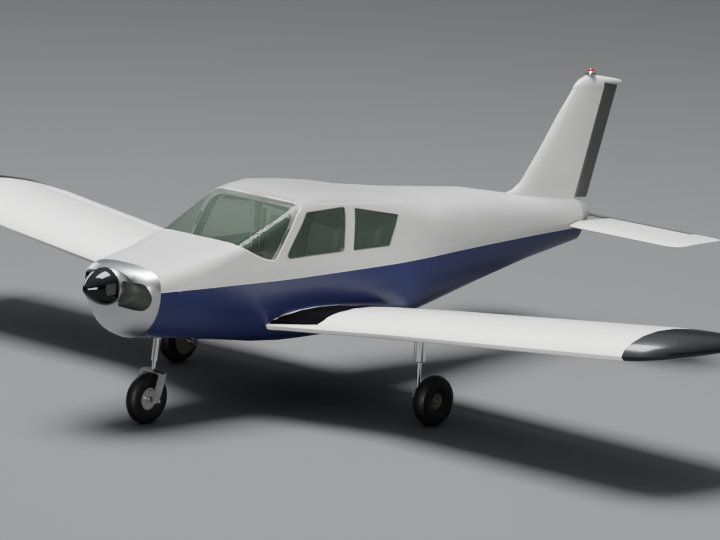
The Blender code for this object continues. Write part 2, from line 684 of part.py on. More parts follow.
def make_tail():
    fin = add_object("fin", loft_mesh([fin_ring(*row) for row in FIN]), WHITE)
    rings = [fin_ring(*row, TAIL_SURFACE_WALL) for row in FIN_HOLLOW]
    boolean(fin, add_object("fin_hollow", loft_mesh(rings), None, True))
    boolean(fin, body_solid("tail_clearance", 4.2, TAIL_END, -GAP, None, True))
    (low_s, low_z), (high_s, high_z) = RUDDER_FRONT
    hinge_way = Vector((0.0, high_s - low_s, high_z - low_z)).normalized()
    aft = Vector((0.0, hinge_way.z, -hinge_way.y))
    slope = hinge_way.y / hinge_way.z
    front = [(low_s - MOVING_GAP + slope * (z - low_z), z) for z in (1.2, 2.6)]
    behind = (front[0], (7.6, 1.2), (7.6, 2.6), front[1])
    boolean(fin, prism("behind_fin", behind, -0.3, 0.3, None, True))

    rings = []
    for (front_s, front_z), (rear_s, rear_z) in zip(RUDDER_FRONT, RUDDER_REAR):
        lead = Vector((0.0, front_s, front_z))
        trail = Vector((0.0, rear_s, rear_z))
        chord = trail - lead
        hinge = lead + chord.normalized() * RUDDER_NOSE
        ring = []
        for i in range(7):
            angle = math.radians(90 + 180 * i / 6)
            point = hinge + chord.normalized() * RUDDER_NOSE * math.cos(angle)
            ring.append((RUDDER_NOSE * math.sin(angle), point.y, point.z))
        ring.append((-0.003, trail.y, trail.z))
        ring.append((0.003, trail.y, trail.z))
        rings.append(ring)
    rudder = add_object("rudder", loft_mesh(rings), GREY)
    set_origin(rudder, Vector((0.0, low_s, low_z)) + aft * RUDDER_NOSE)

    rings = []
    for station, under, top, half_width in FIN_TIP:
        ring = [(half_width, station, under), (-half_width, station, under)]
        for i in range(7):
            angle = math.pi - math.pi * i / 6
            height = (top - under) * (0.35 + 0.65 * math.sin(angle))
            ring.append((half_width * math.cos(angle), station, under + height))
        rings.append(ring)
    cap = add_object("fin_tip", loft_mesh(rings), WHITE)
    foot = (0.0, BEACON_STATION, BEACON_FOOT)
    above = (0.0, BEACON_STATION, 2.7)
    boolean(cap, tube_between("beacon_socket", foot, above, BEACON_FOOT_RADIUS + GAP, None, True, 20))
    profile = (
        (0.0, BEACON_SEAT),
        (LENS_RADIUS + 0.004, BEACON_SEAT),
        (BEACON_FLANGE_RADIUS, BEACON_SEAT - 0.003),
        (BEACON_FLANGE_RADIUS, BEACON_FLANGE),
        (BEACON_FOOT_RADIUS, BEACON_FLANGE - 0.004),
        (BEACON_FOOT_RADIUS, BEACON_FOOT + GAP),
        (0.0, BEACON_FOOT + GAP),
    )
    turned("beacon_base", profile, (0, BEACON_STATION, 0), (0, 0, 1), STEEL, 24)
    waist = LENS_HEIGHT - LENS_RADIUS
    dome = [(0.0, LENS_HEIGHT)]
    for i in range(1, 6):
        angle = math.radians(18 * i)
        dome.append((LENS_RADIUS * math.sin(angle), waist + LENS_RADIUS * math.cos(angle)))
    dome += [(LENS_RADIUS, 0.0), (0.0, 0.0)]
    turned("beacon_lens", dome, (0, BEACON_STATION, BEACON_SEAT + GAP), (0, 0, 1), RED, 20)
    make_stabilator()


def stabilator_ring(row, wall=0.0):
    span, lead, trail, thickness = row
    points = aerofoil(lead, trail, thickness, 0.0, 8, wall, TAB_HINGE - 5 * wall)
    return [(span, station, STABILATOR_Z + height) for station, height in points]


def make_stabilator():
    pivot = (0.0, STABILATOR_PIVOT, STABILATOR_Z)
    panels = []
    for mirrored in (False, True):
        rings = [stabilator_ring(row) for row in STABILATOR]
        panel = add_object("stabilator", loft_mesh(rings, mirrored), WHITE, cutter=mirrored)
        rows = ((0.100, *STABILATOR[0][1:]), STABILATOR[1])
        rings = [stabilator_ring(row, TAIL_SURFACE_WALL) for row in rows]
        boolean(panel, add_object(f"stabilator_hollow_{len(panels)}", loft_mesh(rings, mirrored), None, True))
        panels.append(panel)
    left, right = panels
    right.name = "stabilator_right_half"
    tube = tube_between("torque_tube", (-0.4, *pivot[1:]), (0.4, *pivot[1:]), TORQUE_TUBE, None, True)
    boolean(left, tube, "UNION")
    boolean(left, right, "UNION")
    bay = (TAB_SPAN + MOVING_GAP, TAB_HINGE - TAB_NOSE - 0.006)
    boolean(left, box("tab_bay", (-bay[0], bay[1], 1.0), (bay[0], 7.1, 1.3), None, True))
    set_origin(left, pivot)
    chord = STABILATOR[0][2] - TAB_HINGE
    arc = [math.radians(90 + 180 * i / 4) for i in range(5)]
    outline = [(TAB_HINGE + TAB_NOSE * math.cos(a), STABILATOR_Z + TAB_NOSE * math.sin(a)) for a in arc]
    outline += [(TAB_HINGE + chord, STABILATOR_Z - 0.002), (TAB_HINGE + chord, STABILATOR_Z + 0.002)]
    tab = prism("anti_servo_tab", outline, -TAB_SPAN, TAB_SPAN, GREY)
    set_origin(tab, (0.0, TAB_HINGE, STABILATOR_Z))


def make_propeller_hub():
    centre = (0.0, 0.0, PROP_AXIS_Z)
    outer = []
    for i in range(9):
        share = i / 8
        outer.append((SPINNER_RADIUS * (1 - (1 - share) ** 1.9), SPINNER_LENGTH * share))
    wall = 0.004
    inner = [(r - wall, a + 0.006) for r, a in reversed(outer[1:-1])]
    lip = SPINNER_LENGTH + 0.015
    profile = outer + [(SPINNER_RADIUS, lip), (SPINNER_RADIUS - wall, lip)] + inner + [(0.0, 0.010)]
    spinner = turned("spinner", profile, centre, (0, 1, 0), DARK_METAL, 28)
    low, high = PROP_AXIS_Z - 0.056, PROP_AXIS_Z + 0.056
    slot = rounded(((0.145, low), (0.145, high), (0.300, high), (0.300, low)), 0.035)
    boolean(spinner, prism("blade_openings", slot, -0.3, 0.3, None, True))
    pieces = (
        ("propeller_hub", (0.0, 0.110), (0.0, 0.322), 0.070),
        ("blade_sockets", (-0.128, HUB_STATION), (0.128, HUB_STATION), 0.045),
        ("propeller_shaft", (0.0, 0.310), (0.0, 0.600), 0.040),
    )
    hub = None
    for name, start, end, radius in pieces:
        ends = [(*point, PROP_AXIS_Z) for point in (start, end)]
        piece = tube_between(name, *ends, radius, STEEL, hub is not None, 32)
        if hub:
            boolean(hub, piece, "UNION")
        else:
            hub = piece
    set_origin(hub, centre)
    engine = box("engine_block", (-0.36, 0.530, 1.010), (0.36, 1.200, 1.365), IRON, bevel=0.03)
    bore = tube_between("shaft_bore", (0, 0.45, PROP_AXIS_Z), (0, 0.62, PROP_AXIS_Z), 0.046, None, True, 32)
    boolean(engine, bore)


def make_wheel(name, centre, size, brake_side):
    """A tyre and its wheel. brake_side is where the brake disc is along X, or 0 for none."""
    half, rim, edge = size
    crown = TYRE_RADIUS / math.cos(math.pi / TYRE_SIDES)
    tread = (
        (rim + 3 * GAP, half * 0.62),
        (0.130, half * 0.90),
        (0.168, half),
        (0.199, half * 0.84),
        (0.215, half * 0.52),
        (crown, half * 0.20),
    )
    profile = list(tread) + [(r, -a) for r, a in reversed(tread)]
    turned(f"{name}_tyre", profile, centre, (1, 0, 0), RUBBER, TYRE_SIDES, closed=True, flat_down=True)
    disc = [(0.130, 0.093), (0.130, 0.087), (0.032, 0.087)] if brake_side else []
    hub_end = 0.093 if brake_side else edge
    profile = [(HUB_BORE, hub_end)] + disc
    if not brake_side:
        profile.append((0.032, hub_end))
    web = 0.010
    profile += [
        (0.032, web),
        (rim - 0.013, web),
        (rim - 0.008, edge),
        (rim, edge),
        (rim, -edge),
        (rim - 0.008, -edge),
        (rim - 0.013, -web),
        (0.032, -web),
        (0.032, -edge),
        (HUB_BORE, -edge),
    ]
    axis = (brake_side or 1, 0, 0)
    turned(f"{name}_wheel", profile, centre, axis, STEEL, WHEEL_SIDES, closed=True)


def make_nose_gear():
    foot = Vector(STRUT_FOOT)

    def on_axis(z):
        return foot + Vector((0.0, STRUT_LEAN, 1.0)) * (z - foot.z)

    strut = tube_between("nose_strut", on_axis(0.545), on_axis(0.985), 0.0325, STEEL)
    bore = tube_between("strut_bore", on_axis(0.50), on_axis(0.62), 0.0255, None, True)
    boolean(strut, bore)
    piston = tube_between("nose_piston", on_axis(0.466), on_axis(0.600), 0.019, STEEL)
    inner, outer, top, crown = FORK_INNER, FORK_OUTER, 0.468, 0.446
    outline = (
        (outer - 0.008, 0.200),
        (outer, 0.300),
        (outer, top - 0.022),
        (outer - 0.022, top),
        (-outer + 0.022, top),
        (-outer, top - 0.022),
        (-outer, 0.300),
        (-outer + 0.008, 0.200),
        (-inner - 0.004, 0.200),
        (-inner, 0.300),
        (-inner, crown - 0.010),
        (-inner + 0.010, crown),
        (inner - 0.010, crown),
        (inner, crown - 0.010),
        (inner, 0.300),
        (inner + 0.004, 0.200),
    )
    rake = (foot.y - NOSE_WHEEL[1]) / (foot.z - NOSE_WHEEL[2])
    rings = []
    for offset in (-0.028, 0.028):
        rings.append([(x, NOSE_WHEEL[1] + rake * (z - NOSE_WHEEL[2]) + offset, z) for x, z in outline])
    fork = add_object("nose_fork", loft_mesh(rings), STEEL)
    socket = tube_between("piston_socket", on_axis(0.44), on_axis(0.60), 0.019 + GAP, None, True)
    boolean(fork, socket)
    centre = Vector(NOSE_WHEEL)
    reach = Vector((NOSE_AXLE_REACH, 0.0, 0.0))
    hole = tube_between("axle_hole", centre - 2 * reach, centre + 2 * reach, AXLE_RADIUS + GAP, None, True)
    boolean(fork, hole)
    axle = tube_between("nose_axle", centre - reach, centre + reach, AXLE_RADIUS, STEEL)
    for obj in (piston, fork, axle):
        set_origin(obj, STRUT_FOOT)
    make_wheel("nose", NOSE_WHEEL, NOSE_TYRE, 0)


def make_main_gear():
    for side, name in ((1, "left"), (-1, "right")):
        station = MAIN_WHEEL[1]
        profile = (
            (0.0, LEG_TOP),
            (LEG_RADIUS, LEG_TOP),
            (LEG_RADIUS, 0.545),
            (PISTON_RADIUS, 0.530),
            (PISTON_RADIUS, 0.205),
            (0.0, 0.205),
        )
        leg = turned(f"main_leg_{name}", profile, (side * LEG_X, station, 0.0), (0, 0, 1), STEEL, 20)
        start = Vector((side * (LEG_X - 0.034), station, TYRE_RADIUS))
        boss_end = Vector((side * (LEG_X + 0.034), station, TYRE_RADIUS))
        end = Vector((side * (MAIN_WHEEL[0] + MAIN_TYRE[2] + 0.006), station, TYRE_RADIUS))
        boss = tube_between(f"axle_boss_{name}", start, boss_end, 0.034, None, True)
        axle = tube_between(f"axle_{name}", start, end, AXLE_RADIUS, None, True)
        boolean(leg, boss, "UNION")
        boolean(leg, axle, "UNION")
        make_wheel(f"main_{name}", (side * MAIN_WHEEL[0], station, TYRE_RADIUS), MAIN_TYRE, -side)


make_fuselage()
make_cabin_fittings()
make_wings()
make_tail()
make_propeller_hub()
make_nose_gear()
make_main_gear()
for part in AIRCRAFT.objects:
    if part.type == "MESH":
        part.data.shade_smooth()
        part.data.set_sharp_from_angle(angle=math.radians(30))
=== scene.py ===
"""Looks of the four-seat low-wing light aircraft: finishes, trim, cabin fittings, lights and camera."""

import math

import bmesh
import bpy
import numpy as np
from mathutils import Matrix, Vector
from mathutils.bvhtree import BVHTree


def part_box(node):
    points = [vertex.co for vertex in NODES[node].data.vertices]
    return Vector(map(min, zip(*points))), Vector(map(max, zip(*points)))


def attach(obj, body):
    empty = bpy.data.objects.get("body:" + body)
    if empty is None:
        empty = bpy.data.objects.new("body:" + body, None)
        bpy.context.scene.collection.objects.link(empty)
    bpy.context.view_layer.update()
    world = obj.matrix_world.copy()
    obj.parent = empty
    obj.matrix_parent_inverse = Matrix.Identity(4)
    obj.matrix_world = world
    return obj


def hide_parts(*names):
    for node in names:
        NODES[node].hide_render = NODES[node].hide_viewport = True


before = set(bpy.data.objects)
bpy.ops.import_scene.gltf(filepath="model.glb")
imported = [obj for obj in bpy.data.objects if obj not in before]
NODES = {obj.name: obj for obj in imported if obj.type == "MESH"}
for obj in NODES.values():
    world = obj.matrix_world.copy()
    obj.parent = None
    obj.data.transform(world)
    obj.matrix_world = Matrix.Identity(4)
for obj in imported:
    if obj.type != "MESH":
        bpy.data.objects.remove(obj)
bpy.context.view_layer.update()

# Stations run aft from the spinner's tip; the frame's origin is at this one.
DATUM = 3.55
PROP_Z = 1.271
WHEEL_Z = 0.2225
NOSE_AXLE = 0.815
SIDES = ((1, "port"), (-1, "starboard"))


def at(x, station, z):
    return Vector((x, station - DATUM, z))


def shown(name, data):
    made = bpy.data.objects.new(name, data)
    bpy.context.scene.collection.objects.link(made)
    return made


def as_data(name, mesh):
    """A bmesh's shape as mesh data."""
    data = bpy.data.meshes.new(name)
    mesh.to_mesh(data)
    mesh.free()
    return data


# Camera, floor and lights


def make_camera():
    """The photograph's own view: a long lens from off the port bow, a little above."""
    place, yaw, pitch, roll = (26.09, -29.26, 8.82), *map(math.radians, (41.78, 11.24, 2.72))
    focal_pixels, photo_pixels, sensor = 4431.74, 720, 36.0
    ahead = Vector((-math.sin(yaw) * math.cos(pitch), math.cos(yaw) * math.cos(pitch), -math.sin(pitch)))
    across = Vector((math.cos(yaw), math.sin(yaw), 0))
    up = across.cross(ahead)
    right = across * math.cos(roll) + up * math.sin(roll)
    top = -across * math.sin(roll) + up * math.cos(roll)
    data = bpy.data.cameras.new("long_lens")
    data.sensor_width, data.lens = sensor, focal_pixels / photo_pixels * sensor
    data.clip_start, data.clip_end = 1.0, 400.0
    camera = shown("long_lens", data)
    turn = Matrix((right, top, -ahead)).transposed().to_4x4()
    camera.matrix_world = Matrix.Translation(place) @ turn
    bpy.context.scene.camera = camera


def make_light(name, place, target, size, power, tint="#ffffff"):
    data = bpy.data.lights.new(name, "AREA")
    data.shape, data.size, data.size_y = "RECTANGLE", *size
    data.energy, data.color = power, colour(tint)[:3]
    lamp = shown(name, data)
    lamp.location = place
    lamp.rotation_euler = (Vector(target) - Vector(place)).to_track_quat("-Z", "Y").to_euler()
    lamp.visible_camera = False
    return lamp


def make_studio():
    """A floor, a broad soft light overhead, two at the sides, and a room paler above than at its foot."""
    mesh = bmesh.new()
    bmesh.ops.create_circle(mesh, cap_ends=True, segments=96, radius=180)
    floor = shown("studio_floor", as_data("studio_floor", mesh))
    floor.data.materials.append(FINISH["floor"])
    make_light("overhead_softbox", (0, -1, 24), (0, -1, 0), (14, 13), 16500)
    sides = (
        make_light("bow_softbox", (9.5, -13, 3.0), (0, -1.5, 1), (5, 3), 1500, "#fffaf4"),
        make_light("quarter_softbox", (-32, 8, 9), (0, 0, 1), (12, 6), 1500, "#f4f8ff"),
    )
    # The side lights are flagged off the floor, so that its shadows stay soft and single.
    flagged = bpy.data.collections.new("flagged_off")
    flagged.objects.link(floor)
    flagged.collection_objects[0].light_linking.link_state = "EXCLUDE"
    for lamp in sides:
        lamp.light_linking.receiver_collection = flagged
    world = bpy.data.worlds.new("pale_room")
    bpy.context.scene.world = world
    world.use_nodes = True
    tree = world.node_tree
    way = tree.nodes.new("ShaderNodeTexCoord").outputs["Generated"]
    rise = add(tree, "ShaderNodeSeparateXYZ", Vector=way).outputs["Z"]
    glow = add(
        tree, "ShaderNodeMapRange", Value=rise, From_Min=0.30, From_Max=0.95, To_Min=0.05, To_Max=1.0
    )
    room = tree.nodes["Background"]
    room.inputs["Color"].default_value = colour("#e4e7e9")
    tree.links.new(glow.outputs[0], room.inputs["Strength"])


# Finishes


def colour(code):
    """An sRGB hex colour as linear RGBA."""
    parts = [int(code[i : i + 2], 16) / 255 for i in (1, 3, 5)]
    return tuple(c / 12.92 if c <= 0.04045 else ((c + 0.055) / 1.055) ** 2.4 for c in parts) + (1.0,)


def add(tree, kind, settings=None, **sockets):
    """Adds a node. Sockets go by name or identifier, with spaces as underscores; a socket is linked."""
    made = tree.nodes.new(kind)
    for key, value in (settings or {}).items():
        setattr(made, key, value)
    for key, value in sockets.items():
        names = (key, key.replace("_", " "))
        socket = next(s for s in made.inputs if s.enabled and (s.identifier in names or s.name in names))
        if isinstance(value, bpy.types.NodeSocket):
            tree.links.new(value, socket)
        else:
            socket.default_value = value
    return made


def new_finish(name, **sockets):
    """A material with its Principled shader set; returns it, its tree, its shader and where it is."""
    made = bpy.data.materials.new(name)
    made.use_nodes = True
    tree = made.node_tree
    shader = tree.nodes["Principled BSDF"]
    for key, value in sockets.items():
        shader.inputs[key.replace("_", " ")].default_value = (
            colour(value) if isinstance(value, str) else value
        )
    made.diffuse_color = shader.inputs["Base Color"].default_value
    return made, tree, shader, tree.nodes.new("ShaderNodeTexCoord").outputs["Object"]


def lay(tree, shader, place, lumps=0, cells=0, stretch=(1, 1, 1), detail=3.0, harsh=0.55, value=None,
        shades=None, over=None, gloss=None, dull=(0.2, 0.8), dents=None):
    """Lays one pattern on a finish and returns it as a value from 0 to 1.

    It has so many lumps or cells to a metre, or is a value worked out already. It mixes two shades over
    a part of its range, runs the gloss between two roughnesses, and raises dents so deep and so strong.
    """
    if lumps:
        spread = add(tree, "ShaderNodeMapping", Vector=place, Scale=stretch).outputs[0]
        noise = {"Vector": spread, "Scale": lumps, "Detail": detail, "Roughness": harsh}
        value = add(tree, "ShaderNodeTexNoise", **noise).outputs[0]
    if cells:
        value = add(tree, "ShaderNodeTexVoronoi", Vector=place, Scale=cells).outputs["Distance"]
    if shades:
        share = value
        if over:
            span = {"From_Min": over[0], "From_Max": over[1]}
            share = add(tree, "ShaderNodeMapRange", Value=value, **span).outputs[0]
        low, high = (colour(s) if isinstance(s, str) else s for s in shades)
        coat = {"Factor_Float": share, "A_Color": low, "B_Color": high}
        mix = add(tree, "ShaderNodeMix", {"data_type": "RGBA"}, **coat)
        tree.links.new(mix.outputs["Result"], shader.inputs["Base Color"])
    if gloss:
        span = {"From_Min": dull[0], "From_Max": dull[1], "To_Min": gloss[0], "To_Max": gloss[1]}
        rough = add(tree, "ShaderNodeMapRange", Value=value, **span)
        tree.links.new(rough.outputs[0], shader.inputs["Roughness"])
    if dents:
        bump = add(tree, "ShaderNodeBump", Height=value, Distance=dents[0], Strength=dents[1])
        tree.links.new(bump.outputs[0], shader.inputs["Normal"])
    return value


def patterned(name, *patterns, **sockets):
    """A finish made by laying patterns on a shader."""
    made, tree, shader, place = new_finish(name, **sockets)
    for pattern in patterns:
        lay(tree, shader, place, **pattern)
    return made


def weathered(name, clean, dirty, gloss=(0.24, 0.38), **sockets):
    """Sprayed enamel in service: dust drawn aft in streaks, orange peel, and a gloss that varies."""
    made, tree, shader, place = new_finish(name, **sockets)
    # Streaks are 60 mm apart and 1.2 m long, aft along the airflow.
    streaks = lay(tree, shader, place, lumps=14.0, stretch=(1.2, 0.06, 1.2), detail=5.0, gloss=gloss)
    patches = lay(tree, shader, place, lumps=1.1, detail=2.0)
    dust = add(tree, "ShaderNodeMath", {"operation": "MULTIPLY"}, Value=streaks, Value_001=patches)
    lay(tree, shader, place, value=dust.outputs[0], shades=(clean, dirty), over=(0.22, 0.62))
    # Orange peel is really about 1.5 mm across; it is drawn 6 mm across so that it shows.
    lay(tree, shader, place, lumps=160.0, detail=1.0, dents=(0.00012, 0.35))
    return made


# Where white meets navy along the fuselage: station and height.
PAINT_LINE = (
    (0.420, 1.262),
    (1.161, 1.245),
    (1.826, 1.229),
    (2.698, 1.214),
    (3.702, 1.201),
    (4.351, 1.192),
    (5.036, 1.176),
    (6.319, 1.138),
)


def two_colour():
    """The fuselage's enamel: warm grey-white over navy, masked along one sweeping line."""
    made, tree, shader, place = new_finish(
        "enamel_two_colour", Base_Color="#b4b5b4", Roughness=0.34, Specular_IOR_Level=0.28, Coat_Weight=0.04
    )
    length, floor, rise = 7.0, 1.0, 0.5
    apart = add(tree, "ShaderNodeSeparateXYZ", Vector=place).outputs
    span = {"From_Min": -DATUM, "From_Max": length - DATUM}
    along = add(tree, "ShaderNodeMapRange", Value=apart["Y"], **span).outputs[0]
    curve = tree.nodes.new("ShaderNodeFloatCurve")
    points = curve.mapping.curves[0].points
    while len(points) < len(PAINT_LINE):
        points.new(0.5, 0.5)
    for point, (station, height) in zip(points, PAINT_LINE):
        point.location = (station / length, (height - floor) / rise)
    curve.mapping.update()
    tree.links.new(along, curve.inputs["Value"])
    span = {"To_Min": floor, "To_Max": floor + rise}
    height = add(tree, "ShaderNodeMapRange", Value=curve.outputs[0], **span).outputs[0]
    above = add(
        tree, "ShaderNodeMath", {"operation": "SUBTRACT"}, Value=apart["Z"], Value_001=height
    ).outputs[0]
    streaks = lay(tree, shader, place, lumps=9.0, stretch=(1, 0.12, 1), detail=4.0, gloss=(0.26, 0.40))
    # Orange peel drawn 6 mm across so that it shows.
    lay(tree, shader, place, lumps=160.0, detail=1.0, dents=(0.00012, 0.3))
    # Each share says how far one coat covers another: streaks of dust, painted shade on the roof,
    # darkest along its top, the pale edge of the masking and the side of the line.
    shares = {}
    for key, value, low, high, least, most in (
        ("dust", streaks, 0.35, 0.75, 0, 1),
        # Painted shade: the roof's white is darkened with height, standing in for light that falls off over
        # the roof.
        ("roof", apart["Z"], 1.62, 1.93, 0, 0.85),
        ("edge", above, 0.0, 0.006, 1, 0),
        ("side", above, -0.0008, 0.0008, 0, 1),
    ):
        span = {"From_Min": low, "From_Max": high, "To_Min": least, "To_Max": most}
        shares[key] = add(tree, "ShaderNodeMapRange", Value=value, **span).outputs[0]
    coats = {}
    for key, share, low, high in (
        ("navy", "dust", "#25284f", "#2a2d56"),
        ("white", "dust", "#b6b7b6", "#adaead"),
        # Painted shade on the roof: the white is mixed toward grey.
        ("roofed", "roof", "white", "#8b8c8b"),
        ("edged", "edge", "roofed", "#f3f3f0"),
        ("all", "side", "navy", "edged"),
    ):
        low, high = (coats.get(c) or colour(c) for c in (low, high))
        coat = {"Factor_Float": shares[share], "A_Color": low, "B_Color": high}
        coats[key] = add(tree, "ShaderNodeMix", {"data_type": "RGBA"}, **coat).outputs["Result"]
    tree.links.new(coats["all"], shader.inputs["Base Color"])
    return made


def glass():
    """Stretched acrylic with a green-grey tint: each face veils the view a little, more at a slant."""
    made, tree, shader, place = new_finish(
        "acrylic_green_tint", Base_Color="#46544a", Roughness=0.05, IOR=1.49
    )
    facing = add(tree, "ShaderNodeLayerWeight", Blend=0.35).outputs["Facing"]
    veil = add(tree, "ShaderNodeMapRange", Value=facing, To_Min=0.22, To_Max=0.64).outputs[0]
    tree.links.new(veil, shader.inputs["Alpha"])
    haze = {"lumps": 2.0, "stretch": (1, 0.5, 1), "detail": 1.0, "shades": ("#445248", "#49574d")}
    lay(tree, shader, place, **haze)
    return made


def woven_cloth():
    """Woven seat cloth: grey, a plain weave whose 1 mm threads are drawn 3 mm apart so that they show."""
    made, tree, shader, place = new_finish(
        "cloth_woven", Base_Color="#5b6068", Roughness=0.9, Sheen_Weight=0.25, Sheen_Roughness=0.5
    )
    thread = {"Vector": place, "Scale": 52.0, "Distortion": 1.2, "Detail": 1.0, "Detail_Scale": 40.0}
    threads = [
        add(tree, "ShaderNodeTexWave", {"bands_direction": way}, **thread).outputs["Fac"]
        for way in ("X", "DIAGONAL")
    ]
    weave = add(
        tree, "ShaderNodeMath", {"operation": "MAXIMUM"}, Value=threads[0], Value_001=threads[1]
    ).outputs[0]
    lay(tree, shader, place, value=weave, shades=("#454a52", "#6b7079"), dents=(0.0006, 0.5))
    return made


def floor_paper():
    """Studio floor: a sweep of matt paper, barely mottled, painted darker near the middle and paler outward
    as painted shade that evens out the bright pool under the overhead light.
    """
    made, tree, shader, place = new_finish("floor_paper", Base_Color="#717273", Roughness=0.85)
    lay(tree, shader, place, lumps=0.5, shades=("#5b5c5d", "#5f6061"))
    paper = shader.inputs["Base Color"].links[0].from_socket
    # Painted shade: the paper's colour darkens toward the middle, where the overhead light's pool is
    # brightest.
    away = add(tree, "ShaderNodeVectorMath", {"operation": "LENGTH"}, Vector=place).outputs["Value"]
    lay(tree, shader, place, value=away, shades=(paper, "#727374"), over=(6.0, 45.0))
    return made


